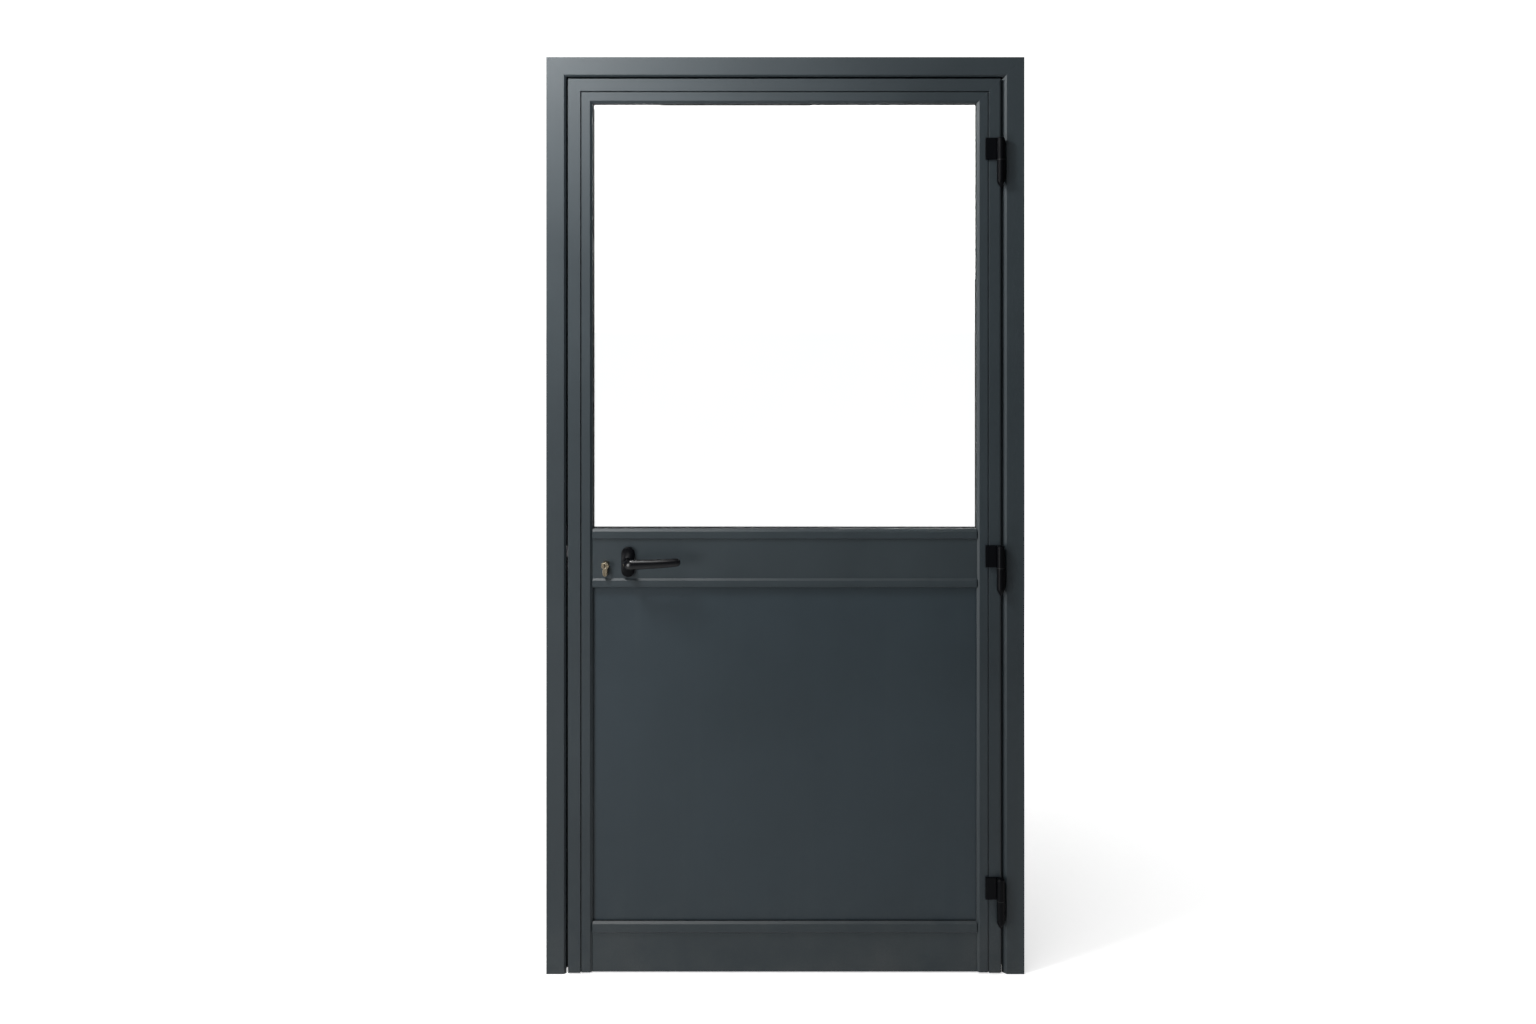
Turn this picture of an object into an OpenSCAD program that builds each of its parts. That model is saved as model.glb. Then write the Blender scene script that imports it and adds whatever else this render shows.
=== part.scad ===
// Half-glazed aluminium door leaf hung in its three-sided frame.
// X runs across the door, Y from the outside face to the inside face, and Z up.
// The origin is on the floor line, at the middle of the frame's width and of the rails' thickness.

/* [Overall] */
// Width over the frame
door_w = 1100; // [900:10:1320]
// Height over the frame
door_h = 2110; // [1750:10:2540]

/* [Frame profile] */
// Width of the frame's face
frame_face = 45; // [42:1:60]
// Bevel along the inner front edge of the frame
frame_bevel = 4.5; // [2:0.5:5]
// Wall of the frame profile
frame_wall = 1.8; // [1.4:0.1:2]
// Reach of the stop lip behind the leaf
lip_reach = 17; // [16:1:22]
// Thickness of the stop lip
lip_t = 6; // [5:0.5:8]
// Room between the back of the leaf and the stop lip
stop_gap = 4; // [3.5:0.5:6]

/* [Gaps round the leaf] */
// Gap on the lock side
gap_lock = 5; // [4:0.5:7]
// Gap on the hinge side
gap_hinge = 8; // [7:0.5:9]
// Gap under the head
gap_top = 5; // [4:0.5:8]
// Gap over the floor
gap_floor = 3; // [2.5:0.5:12]

/* [Leaf profile] */
// Depth of the leaf from outside face to inside face
leaf_d = 40; // [38:1:48]
// Width of the stile and top rail faces
leaf_face = 56; // [54:1:74]
// Width of the flat outer flange
flange_w = 28; // [24:1:30]
// Set back of the inner band behind the flange
band_set = 2; // [1:0.5:3]
// Width of the slope along the glass
edge_slope = 6; // [3:1:8]
// Wall of the leaf profiles
leaf_wall = 2; // [1.5:0.1:2.4]
// Height of the glazing rebate
rebate_h = 18; // [16:1:18]

/* [Rails] */
// Height of the mid rail's lower edge over the floor
mid_rail_z = 888; // [600:1:1000]
// Height of the mid rail
mid_rail_h = 136; // [131:1:170]
// Height of the bottom rail
bottom_rail_h = 116; // [90:1:200]
// Set back of the rail faces behind the flange
rail_set = 6; // [4:0.5:7]

/* [Glass and panel] */
// Thickness of each pane
pane_t = 4; // [3:0.5:6]
// Thickness of the whole sealed unit, and of the panel
infill_t = 18; // [15:1:21]
// Thickness of the panel's skins
skin_t = 1.5; // [1:0.1:2]
// Thickness of the glazing gaskets
gasket_t = 2.5; // [2:0.5:3]

/* [Lock and handle] */
// Distance from the leaf's edge to the cylinder
cylinder_u = 85.8; // [71:0.1:103]
// Distance from the cylinder to the spindle
spindle_reach = 51.8; // [43:0.1:63]
// Reach of the lever from its spindle
lever_reach = 124; // [100:1:150]
// Radius of the lever's grip
grip_r = 10; // [8.7:0.1:12]
// Distance from the rail's face to the outside of the lever
lever_out = 56; // [50:1:70]
// Throw of the deadbolt
bolt_throw = 20; // [16:1:22]

/* [Hinges] */
// Radius of the hinge barrel
barrel_r = 9; // [7.9:0.1:10]
// Radius of the hinge pin
pin_r = 4; // [3:0.1:4.8]
// Length of a hinge with its tip
hinge_len = 114; // [100:1:140]
// Height of the lowest hinge over the floor
hinge_low_z = 110; // [60:1:200]
// Height of the middle hinge over the floor
hinge_mid_z = 873; // [800:1:1100]
// Distance from the top of the frame to the foot of the top hinge
hinge_top_drop = 300; // [200:1:370]

/* [Wall fixings] */
// Radius of the fixing holes through the jambs
fixing_r = 4; // [3:0.25:5]
// Height of the lowest fixing hole
fixing_low_z = 300; // [260:10:400]
// Distance from the mid rail's lower edge down to the second fixing hole
fixing_below = 108; // [100:1:180]
// Distance from the mid rail's lower edge up to the third fixing hole
fixing_above = 372; // [250:1:380]
// Distance from the top of the frame to the highest fixing hole
fixing_top_drop = 370; // [350:1:400]

/* [Hidden] */

$fn = 48;
// Overshoot of a cut past the face it opens
over = 1;

powder = "#3b4043";
black = "#17181a";
zinc = "#8d9095";
steel = "#a9abae";
rubber = "#1c1c1d";
brass = "#c9a45c";

// Depths run from the leaf's front face: 0 there, growing to the inside
mid_depth = (rail_set + leaf_d) / 2;
front_y = -mid_depth;
frame_d = leaf_d + stop_gap + lip_t;
lip_front = leaf_d + stop_gap;
lip_end = frame_face + lip_reach;
side_groove_half = 12.2;
side_groove_deep = 3;
bolt_depth = leaf_d / 2;
plate_half = side_groove_half - 0.2;

// Leaf outline
leaf_x0 = -door_w / 2 + frame_face + gap_lock;
leaf_x1 = door_w / 2 - frame_face - gap_hinge;
leaf_z0 = gap_floor;
leaf_z1 = door_h - frame_face - gap_top;
rebate_u = leaf_face - rebate_h;
slope_drop = 5;
glazing_depth = rail_set + 4;
shadow_w = 3;
shadow_deep = 4.5;

mid_z0 = mid_rail_z;
mid_z1 = mid_rail_z + mid_rail_h;
bottom_z1 = leaf_z0 + bottom_rail_h;

// Infill: pane, air or core, and pane, held between two gaskets
infill_front = glazing_depth + gasket_t;
infill_back = infill_front + infill_t;
bead_front = infill_back + gasket_t;
bead_wall = 1.2;
edge_room = 5;
infill_x0 = leaf_x0 + rebate_u + edge_room;
infill_x1 = leaf_x1 - rebate_u - edge_room;
glass_z0 = mid_z1 - rebate_h + edge_room;
glass_z1 = leaf_z1 - rebate_u - edge_room;
panel_z0 = bottom_z1 - rebate_h + edge_room;
panel_z1 = mid_z0 + rebate_h - edge_room;
opening_x0 = leaf_x0 + leaf_face;
opening_x1 = leaf_x1 - leaf_face;

// Lock
lock_x = leaf_x0;
cylinder_x = lock_x + cylinder_u;
spindle_u = cylinder_u + spindle_reach;
spindle_x = lock_x + spindle_u;
case_under = 39;
case_over = 40;
case_end = spindle_u + 27;
case_half = 9;
case_wall = 1.5;
case_gap = 0.3;
spindle_z = mid_z0 + rebate_h + leaf_wall + 1 + case_under;
cylinder_z = spindle_z - 7.3;
case_z0 = spindle_z - case_under;
case_z1 = spindle_z + case_over;
plate_z0 = spindle_z - 78;
plate_z1 = spindle_z + 82;
plate_screw_in = 10;
plate_screw_zs = [plate_z0 + plate_screw_in, plate_z1 - plate_screw_in];
plate_screw_r = 2.1;
plate_screw_head_r = 4.5;
plate_screw_len = 14;
latch_z0 = spindle_z + 10;
latch_z1 = spindle_z + 34;
latch_half = 7;
latch_out = 12;
latch_head_back = 12;
latch_bar_z0 = spindle_z + 31;
latch_bar_z1 = spindle_z + 37;
bar_half = 3;
bolt_z0 = spindle_z - 22;
bolt_z1 = spindle_z;
bolt_back = 52;
tail_z0 = cylinder_z + 15.8;
tail_z1 = tail_z0 + 6;
follower_r = 12;
follower_hub_r = 9;
arm_len = 20;
arm_half = 3;
arm_room = 0.8;
spindle_side = 8;
spindle_room = 0.1;
running = 0.05;
cam_r = 14.6;
cam_half_w = 4.2;
cam_half_t = 4.6;
notch_half = 9.4;
tooth_w = 4.5;
tooth_z0 = cylinder_z + 9.8;
plug_r = 6.5;
profile_r = 8.5;
profile_tail = 24.5;
profile_w = 10;
cylinder_len = 55;
rosette_screw_off = 27;
rosette_screw_r = 2;
cylinder_screw_z = cylinder_z - 19.4;
cylinder_screw_r = 2.5;
cylinder_screw_head_r = 4.5;
spring_z = latch_z0 + 12.5;
spring_r = 4;
spring_wire = 0.45;
spring_end = 40;

// Handle
rosette_w = 30;
rosette_h = 69;
rosette_t = 10;
neck_r = 8.5;
neck_room = 0.08;
neck_foot = 0.5;
lever_socket = lever_out - grip_r - 5;
lever_rise = 3;

// Hinges
hinge_zs = [hinge_low_z, hinge_mid_z, door_h - hinge_top_drop];
hinge_x = leaf_x1 - 3;
hinge_depth = -barrel_r - 1;
hinge_y = front_y + hinge_depth;
tip_len = 17;
tip_end_r = 2.2;
knuckle_split = 63;
bush_flange = 1;
bush_r = pin_r + 1.5;
wing_t = 3;
jamb_face_x = door_w / 2 - frame_face;
jamb_groove_x = jamb_face_x + side_groove_deep;
// The hinge jamb's bevel runs on as a lip that stops short of the leaf
nose_gap = 2;
nose_edge = 1.2;
nose_x = leaf_x1 + nose_gap;
nose_depth = frame_bevel + jamb_face_x - nose_x;
flag_reach = 34;
flag_t = 5;
flag_z0 = knuckle_split + bush_flange;
flag_chamfer = 1.5;
flag_screw_x = leaf_x1 - flange_w + 8;
flag_screw_zs = [flag_z0 + 12, hinge_len - 12];
cover_t = 1.5;
nut_plate_t = 5;
hinge_screw_r = 3;
hinge_screw_head_r = 5.5;
knuckle_top = knuckle_split - 0.1;
jamb_screw_zs = [tip_len + 8, knuckle_split - 9];

fixing_zs = [
    fixing_low_z, mid_rail_z - fixing_below, mid_rail_z + fixing_above, door_h - fixing_top_drop
];

// ---- Helpers -------------------------------------------------------------

// A profile drawn as (depth, height) runs along X from x0 to x1
module along_x(x0, x1) {
    translate([x0, front_y, 0])
        rotate([90, 0, 90])
            linear_extrude(height = x1 - x0)
                children();
}

// A profile drawn as (x, depth) runs up from z0 to z1
module along_z(z0, z1) {
    translate([0, front_y, z0])
        linear_extrude(height = z1 - z0)
            children();
}

// A shape drawn as (x, z) runs through the depths d0 to d1
module along_y(d0, d1) {
    translate([0, front_y + d1, 0])
        rotate([90, 0, 0])
            linear_extrude(height = d1 - d0)
                children();
}

// A box from corner to corner, in x, depth and z
module slab(x0, x1, d0, d1, z0, z1) {
    translate([x0, front_y + d0, z0])
        cube([x1 - x0, d1 - d0, z1 - z0]);
}

// A round bar through the depths d0 to d1
module bar_y(x, z, r, d0, d1) {
    translate([x, front_y + d1, z])
        rotate([90, 0, 0])
            cylinder(r = r, h = d1 - d0);
}

// A round bar along X at a depth
module bar_x(x0, x1, depth, z, r) {
    translate([x0, front_y + depth, z])
        rotate([0, 90, 0])
            cylinder(r = r, h = x1 - x0);
}

// Sections are drawn as [reach, depth]; these lay them on a jamb, a stile or a head
module on_left(x) {
    translate([x, 0]) children();
}

module on_right(x) {
    translate([x, 0]) mirror([1, 0]) children();
}

module on_head(z) {
    translate([0, z]) mirror([0, 1]) mirror([1, -1]) children();
}

// Keeps what lies on the side's own side of its mitre
module side_mitre(x, top, reach, toward) {
    intersection() {
        children();
        along_y(-over, frame_d + over)
            polygon([[x, 0], [x + toward * reach, 0], [x + toward * reach, top - reach], [x, top]]);
    }
}

module head_mitre(x0, x1, top, reach) {
    intersection() {
        children();
        along_y(-over, frame_d + over)
            polygon([[x0, top], [x0 + reach, top - reach], [x1 - reach, top - reach], [x1, top]]);
    }
}

// A countersunk screw pointing along +X from a face at x = 0
module sunk_screw(head_r, r, len) {
    head_t = head_r - r;
    rotate([0, 90, 0]) {
        cylinder(r1 = head_r, r2 = r, h = head_t);
        cylinder(r = r, h = len);
    }
}

// ---- Sections ------------------------------------------------------------

module frame_outline() {
    groove0 = bolt_depth - side_groove_half;
    groove1 = bolt_depth + side_groove_half;
    seal0 = frame_face + 8;
    seal1 = seal0 + 4;
    polygon([
        [0, 0], [frame_face - frame_bevel, 0], [frame_face, frame_bevel],
        [frame_face, groove0], [frame_face - side_groove_deep, groove0],
        [frame_face - side_groove_deep, groove1], [frame_face, groove1],
        [frame_face, lip_front],
        [seal0, lip_front], [seal0, lip_front + 3], [seal1, lip_front + 3], [seal1, lip_front],
        [lip_end, lip_front], [lip_end, frame_d], [0, frame_d]
    ]);
}

module frame_chamber() {
    w = frame_wall;
    inner = frame_face - side_groove_deep - w;
    front = bolt_depth - side_groove_half - w;
    back = bolt_depth + side_groove_half + w;
    polygon([
        [w, w], [frame_face - frame_bevel - w, w], [frame_face - w, frame_bevel + w / 2],
        [frame_face - w, front], [inner, front], [inner, back], [frame_face - w, back],
        [frame_face - w, frame_d - w], [w, frame_d - w]
    ]);
}

module frame_section() {
    difference() {
        frame_outline();
        frame_chamber();
    }
}

// The lip on the hinge jamb, drawn as (x, depth)
module nose_section() {
    groove0 = bolt_depth - side_groove_half;
    polygon([
        [jamb_face_x + 1, frame_bevel - 1], [nose_x, nose_depth], [nose_x, nose_depth + nose_edge],
        [jamb_face_x, groove0], [jamb_face_x + 1, groove0]
    ]);
}

module leaf_outline() {
    groove0 = bolt_depth - side_groove_half;
    groove1 = bolt_depth + side_groove_half;
    polygon([
        [0, 0], [flange_w, 0], [flange_w + 0.6, shadow_deep], [flange_w + shadow_w - 0.6, shadow_deep],
        [flange_w + shadow_w, band_set], [leaf_face - edge_slope, band_set],
        [leaf_face, band_set + slope_drop], [leaf_face, glazing_depth],
        [rebate_u, glazing_depth], [rebate_u, leaf_d], [0, leaf_d],
        [0, groove1], [side_groove_deep, groove1], [side_groove_deep, groove0], [0, groove0]
    ]);
}

module leaf_chamber() {
    w = leaf_wall;
    behind = shadow_deep + w;
    front = bolt_depth - side_groove_half - w;
    back = bolt_depth + side_groove_half + w;
    polygon([
        [w, w], [flange_w - w, w], [flange_w - w, behind], [flange_w + shadow_w + w, behind],
        [flange_w + shadow_w + w, band_set + w], [leaf_face - edge_slope - w / 2, band_set + w],
        [leaf_face - w, glazing_depth - w], [rebate_u - w, glazing_depth - w],
        [rebate_u - w, leaf_d - w], [w, leaf_d - w],
        [w, back], [side_groove_deep + w, back], [side_groove_deep + w, front], [w, front]
    ]);
}

module leaf_section() {
    difference() {
        leaf_outline();
        leaf_chamber();
    }
}

// Drawn as (depth, height), with a raised lip against the glass and one against the panel
module mid_rail_section() {
    w = leaf_wall;
    lip_top = mid_z1 - rebate_h;
    lip_foot = mid_z0 + rebate_h;
    difference() {
        polygon([
            [band_set + slope_drop, mid_z1], [band_set, mid_z1 - edge_slope],
            [band_set, lip_top - 4], [rail_set, lip_top - 6],
            [rail_set, lip_foot + 3.5], [band_set, lip_foot - 1], [band_set, mid_z0 + 3],
            [band_set + 3, mid_z0], [glazing_depth, mid_z0], [glazing_depth, lip_foot],
            [leaf_d, lip_foot], [leaf_d, lip_top], [glazing_depth, lip_top], [glazing_depth, mid_z1]
        ]);
        translate([rail_set + w, lip_foot + w])
            square([leaf_d - rail_set - 2 * w, lip_top - lip_foot - 2 * w]);
        translate([band_set + w, lip_top + 3 * w])
            square([glazing_depth - band_set - 2 * w, rebate_h - edge_slope - 4 * w]);
    }
}

module bottom_rail_section() {
    w = leaf_wall;
    lip_foot = bottom_z1 - rebate_h;
    seal = [bolt_depth - 4, bolt_depth + 4];
    difference() {
        polygon([
            [band_set + slope_drop, bottom_z1], [band_set, bottom_z1 - slope_drop],
            [band_set, lip_foot - 6], [rail_set, lip_foot - 8.5], [rail_set, leaf_z0],
            [seal[0], leaf_z0], [seal[0], leaf_z0 + 10], [seal[1], leaf_z0 + 10], [seal[1], leaf_z0],
            [leaf_d, leaf_z0], [leaf_d, lip_foot], [glazing_depth, lip_foot], [glazing_depth, bottom_z1]
        ]);
        translate([rail_set + w, leaf_z0 + 10 + w])
            square([leaf_d - rail_set - 2 * w, lip_foot - leaf_z0 - 10 - 2 * w]);
    }
}

// Glazing bead drawn as (reach from the rebate's floor, depth)
module bead_section() {
    c = 0.3 * (leaf_d - bead_front);
    w = bead_wall;
    difference() {
        polygon([
            [0, bead_front], [rebate_h, bead_front], [rebate_h, leaf_d - c],
            [rebate_h - c, leaf_d], [0, leaf_d]
        ]);
        polygon([
            [w, bead_front + w], [rebate_h - w, bead_front + w], [rebate_h - w, leaf_d - c - w / 2],
            [rebate_h - c - w / 2, leaf_d - w], [w, leaf_d - w]
        ]);
    }
}

// Profile of the lock cylinder drawn as (x, z), grown by a margin
module cylinder_profile(margin) {
    translate([cylinder_x, cylinder_z]) {
        circle(r = profile_r + margin);
        translate([-profile_w / 2 - margin, -profile_tail + profile_w / 2])
            square([profile_w + 2 * margin, profile_tail - profile_w / 2]);
        translate([0, -profile_tail + profile_w / 2])
            circle(r = profile_w / 2 + margin);
    }
}

// Rounded upright oval drawn as (x, z)
module rosette_outline(inset) {
    r = rosette_w / 2 - inset;
    span = rosette_h - rosette_w;
    translate([spindle_x, spindle_z]) {
        translate([0, span / 2]) circle(r = r);
        translate([0, -span / 2]) circle(r = r);
        translate([-r, -span / 2]) square([2 * r, span]);
    }
}

// ---- Frame ---------------------------------------------------------------

module jamb_fixing_holes(x0, x1) {
    for (z = fixing_zs)
        bar_x(x0, x1, bolt_depth, z, fixing_r);
}

module jamb_lock() {
    x = -door_w / 2;
    color(powder)
        difference() {
            side_mitre(x, door_h, lip_end, 1)
                along_z(0, door_h)
                    on_left(x) frame_section();
            jamb_fixing_holes(x - over, x + frame_face);
            slab(x + frame_wall + over, x + frame_face, bolt_depth - 9, bolt_depth + 9,
                bolt_z0 - 4, latch_z1 + 4);
            for (z = plate_screw_zs)
                bar_x(x + frame_wall + over, x + frame_face, bolt_depth, z, plate_screw_r);
        }
}

module jamb_hinge() {
    x = door_w / 2;
    color(powder)
        difference() {
            side_mitre(x, door_h, lip_end, -1)
                along_z(0, door_h) {
                    on_right(x) frame_section();
                    nose_section();
                }
            for (foot = hinge_zs)
                slab(nose_x - over, jamb_face_x, 0, nose_depth + nose_edge + over,
                    foot + tip_len - 0.5, foot + knuckle_split + 0.5);
            jamb_fixing_holes(x - frame_face, x + over);
            for (foot = hinge_zs, rise = jamb_screw_zs)
                bar_x(jamb_face_x - over, jamb_groove_x + frame_wall + 0.5, bolt_depth, foot + rise,
                    hinge_screw_r + 0.2);
        }
}

module frame_head() {
    color(powder)
        head_mitre(-door_w / 2, door_w / 2, door_h, lip_end)
            along_x(-door_w / 2, door_w / 2)
                on_head(door_h) frame_section();
}

// An angle that joins two mitred profiles from inside their chambers, for a left-hand corner
module corner_angle(x, top, inset, leg_w, leg_len, d0, d1) {
    wall = 5;
    a = inset;
    b = inset + leg_w;
    e = inset + leg_len;
    along_y(d0, d1)
        translate([x, top])
            difference() {
                polygon([[a, -a], [e, -a], [e, -b], [b, -b], [b, -e], [a, -e]]);
                polygon([
                    [a + wall, -a - wall], [e - wall, -a - wall], [e - wall, -b + wall],
                    [b - wall, -b + wall], [b - wall, -e + wall], [a + wall, -e + wall]
                ]);
            }
}

module frame_cleats() {
    inset = frame_wall + 0.3;
    leg_w = frame_face - side_groove_deep - 2 * inset;
    color(steel) {
        corner_angle(-door_w / 2, door_h, inset, leg_w, 120, 9, frame_d - inset);
        mirror([1, 0, 0])
            corner_angle(-door_w / 2, door_h, inset, leg_w, 120, 9, frame_d - inset);
    }
}

// Stop gasket drawn as [reach, depth]: a stem in the lip's groove and a round bulb before it
module stop_gasket_section() {
    seal_mid = frame_face + 10;
    bulb_r = (stop_gap - 0.2) / 2;
    translate([seal_mid - 2, lip_front]) square([4, 3]);
    translate([seal_mid - 1.5, lip_front - bulb_r]) square([3, bulb_r]);
    translate([seal_mid, lip_front - bulb_r]) circle(r = bulb_r);
}

module stop_gasket_lock() {
    color(rubber)
        side_mitre(-door_w / 2, door_h, lip_end, 1)
            along_z(0, door_h)
                on_left(-door_w / 2) stop_gasket_section();
}

module stop_gasket_hinge() {
    color(rubber)
        side_mitre(door_w / 2, door_h, lip_end, -1)
            along_z(0, door_h)
                on_right(door_w / 2) stop_gasket_section();
}

module stop_gasket_head() {
    color(rubber)
        head_mitre(-door_w / 2, door_w / 2, door_h, lip_end)
            along_x(-door_w / 2, door_w / 2)
                on_head(door_h) stop_gasket_section();
}

module strike_plate() {
    x1 = -door_w / 2 + frame_face;
    x0 = x1 - side_groove_deep;
    color(steel)
        difference() {
            slab(x0, x1, bolt_depth - plate_half, bolt_depth + plate_half, plate_z0, plate_z1);
            slab(x0 - over, x1 + over, bolt_depth - latch_half - 0.5, bolt_depth + latch_half + 0.5,
                latch_z0 - 1, latch_z1 + 1);
            slab(x0 - over, x1 + over, bolt_depth - latch_half - 0.5, bolt_depth + latch_half + 0.5,
                bolt_z0 - 1, bolt_z1 + 1);
            for (z = plate_screw_zs)
                translate([x1, front_y + bolt_depth, z])
                    mirror([1, 0, 0]) sunk_screw(plate_screw_head_r, plate_screw_r, side_groove_deep + over);
        }
}

module strike_screws() {
    x1 = -door_w / 2 + frame_face;
    color(zinc)
        for (z = plate_screw_zs)
            translate([x1, front_y + bolt_depth, z])
                mirror([1, 0, 0]) sunk_screw(plate_screw_head_r, plate_screw_r, plate_screw_len);
}

// ---- Hinges --------------------------------------------------------------

module hinge_barrel(foot, z0, z1, r) {
    translate([hinge_x, hinge_y, foot + z0])
        cylinder(r = r, h = z1 - z0);
}

module frame_knuckles() {
    color(black)
        for (foot = hinge_zs)
            difference() {
                union() {
                    hinge_barrel(foot, tip_len, knuckle_top, barrel_r);
                    slab(hinge_x, jamb_face_x, hinge_depth, hinge_depth + wing_t,
                        foot + tip_len, foot + knuckle_top);
                    slab(jamb_face_x - wing_t, jamb_face_x, hinge_depth, leaf_d,
                        foot + tip_len, foot + knuckle_top);
                    slab(jamb_face_x - wing_t, jamb_groove_x, bolt_depth - plate_half,
                        bolt_depth + plate_half, foot + tip_len, foot + knuckle_top);
                }
                hinge_barrel(foot, tip_len - over, knuckle_top + over, pin_r);
                for (rise = jamb_screw_zs)
                    translate([jamb_face_x - wing_t, front_y + bolt_depth, foot + rise])
                        sunk_screw(hinge_screw_head_r, hinge_screw_r, wing_t + side_groove_deep + over);
            }
}

module hinge_pins() {
    color(steel)
        for (foot = hinge_zs)
            hinge_barrel(foot, tip_len, hinge_len - 8, pin_r);
}

module hinge_tips() {
    color(black)
        for (foot = hinge_zs)
            translate([hinge_x, hinge_y, foot])
                cylinder(r1 = tip_end_r, r2 = barrel_r, h = tip_len);
}

module jamb_nut_plates() {
    x0 = jamb_groove_x + frame_wall;
    color(zinc)
        for (foot = hinge_zs)
            difference() {
                slab(x0, x0 + nut_plate_t, bolt_depth - 9, bolt_depth + 9,
                    foot + tip_len + 2, foot + knuckle_split - 2);
                for (rise = jamb_screw_zs)
                    bar_x(x0 - over, x0 + nut_plate_t + over, bolt_depth, foot + rise, hinge_screw_r);
            }
}

module jamb_hinge_screws() {
    len = wing_t + side_groove_deep + frame_wall + nut_plate_t + 1;
    color(zinc)
        for (foot = hinge_zs, rise = jamb_screw_zs)
            translate([jamb_face_x - wing_t, front_y + bolt_depth, foot + rise])
                sunk_screw(hinge_screw_head_r, hinge_screw_r, len);
}

module leaf_flags() {
    shoulder = hinge_len - flag_chamfer;
    color(black)
        for (foot = hinge_zs)
            difference() {
                union() {
                    hinge_barrel(foot, flag_z0, shoulder, barrel_r);
                    translate([hinge_x, hinge_y, foot + shoulder])
                        cylinder(r1 = barrel_r, r2 = barrel_r - flag_chamfer, h = flag_chamfer);
                    slab(hinge_x - flag_reach, hinge_x, -flag_t, 0, foot + flag_z0, foot + hinge_len);
                }
                hinge_barrel(foot, flag_z0 - over, hinge_len - 6, bush_r);
                for (rise = flag_screw_zs)
                    translate([flag_screw_x, front_y - flag_t, foot + rise])
                        rotate([0, 0, 90]) sunk_screw(hinge_screw_head_r, hinge_screw_r, flag_t + over);
            }
}

module flag_covers() {
    color(black)
        for (foot = hinge_zs)
            slab(hinge_x - flag_reach, hinge_x - barrel_r - 0.5, -flag_t - cover_t, -flag_t,
                foot + flag_z0 + 0.5, foot + hinge_len - 0.5);
}

module flag_screws() {
    len = flag_t + leaf_wall + nut_plate_t;
    color(zinc)
        for (foot = hinge_zs, rise = flag_screw_zs)
            translate([flag_screw_x, front_y - flag_t, foot + rise])
                rotate([0, 0, 90]) sunk_screw(hinge_screw_head_r, hinge_screw_r, len);
}

module flag_nut_plates() {
    room = leaf_wall + 0.2;
    color(zinc)
        for (foot = hinge_zs)
            difference() {
                slab(leaf_x1 - flange_w + room, flag_screw_x + 7, leaf_wall, leaf_wall + nut_plate_t - 0.8,
                    foot + flag_z0 + 2, foot + hinge_len - 2);
                for (rise = flag_screw_zs)
                    bar_y(flag_screw_x, foot + rise, hinge_screw_r, 0, leaf_d / 2);
            }
}

module hinge_bushes() {
    color("#d8d6cf")
        for (foot = hinge_zs)
            difference() {
                union() {
                    hinge_barrel(foot, knuckle_split, knuckle_split + bush_flange, barrel_r - 0.3);
                    hinge_barrel(foot, knuckle_split, hinge_len - 7, bush_r);
                }
                hinge_barrel(foot, knuckle_split - over, hinge_len, pin_r + running);
            }
}

// ---- Leaf ----------------------------------------------------------------

module lock_cutouts() {
    slab(lock_x - over, lock_x + leaf_face, bolt_depth - case_half - case_gap,
        bolt_depth + case_half + case_gap, case_z0 - case_gap, case_z1 + case_gap);
    for (z = plate_screw_zs)
        bar_x(lock_x - over, lock_x + side_groove_deep + leaf_wall + over, bolt_depth, z, plate_screw_r);
}

module stile_lock() {
    color(powder)
        difference() {
            side_mitre(leaf_x0, leaf_z1, leaf_face, 1)
                along_z(leaf_z0, leaf_z1)
                    on_left(leaf_x0) leaf_section();
            lock_cutouts();
        }
}

module stile_hinge() {
    color(powder)
        difference() {
            side_mitre(leaf_x1, leaf_z1, leaf_face, -1)
                along_z(leaf_z0, leaf_z1)
                    on_right(leaf_x1) leaf_section();
            along_z(leaf_z0 - over, leaf_z1 + over)
                on_right(leaf_x1)
                    polygon([[-over, -over], [2 * leaf_wall, 0], [0, leaf_wall], [-over, leaf_wall]]);
            for (foot = hinge_zs, rise = flag_screw_zs)
                bar_y(flag_screw_x, foot + rise, hinge_screw_r + 0.2, -over, leaf_wall + 0.5);
        }
}

module top_rail() {
    color(powder)
        head_mitre(leaf_x0, leaf_x1, leaf_z1, leaf_face)
            along_x(leaf_x0, leaf_x1)
                on_head(leaf_z1) leaf_section();
}

// Rails run up to the stiles' boxes, and stop at their bands in front
module between_stiles(z0, z1) {
    intersection() {
        children();
        union() {
            slab(opening_x0, opening_x1, -over, leaf_d + over, z0, z1);
            slab(leaf_x0 + rebate_u, leaf_x1 - rebate_u, glazing_depth, leaf_d + over, z0, z1);
        }
    }
}

module mid_rail() {
    color(powder)
        difference() {
            between_stiles(mid_z0, mid_z1)
                along_x(leaf_x0, leaf_x1) mid_rail_section();
            along_y(-over, leaf_d + over) cylinder_profile(0.5);
            bar_y(spindle_x, spindle_z, follower_hub_r + 1, -over, leaf_d + over);
            for (off = [-rosette_screw_off, rosette_screw_off])
                bar_y(spindle_x, spindle_z + off, rosette_screw_r + 0.5, -over, leaf_d + over);
        }
}

module bottom_rail() {
    color(powder)
        between_stiles(leaf_z0, bottom_z1)
            along_x(leaf_x0, leaf_x1) bottom_rail_section();
}

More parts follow.
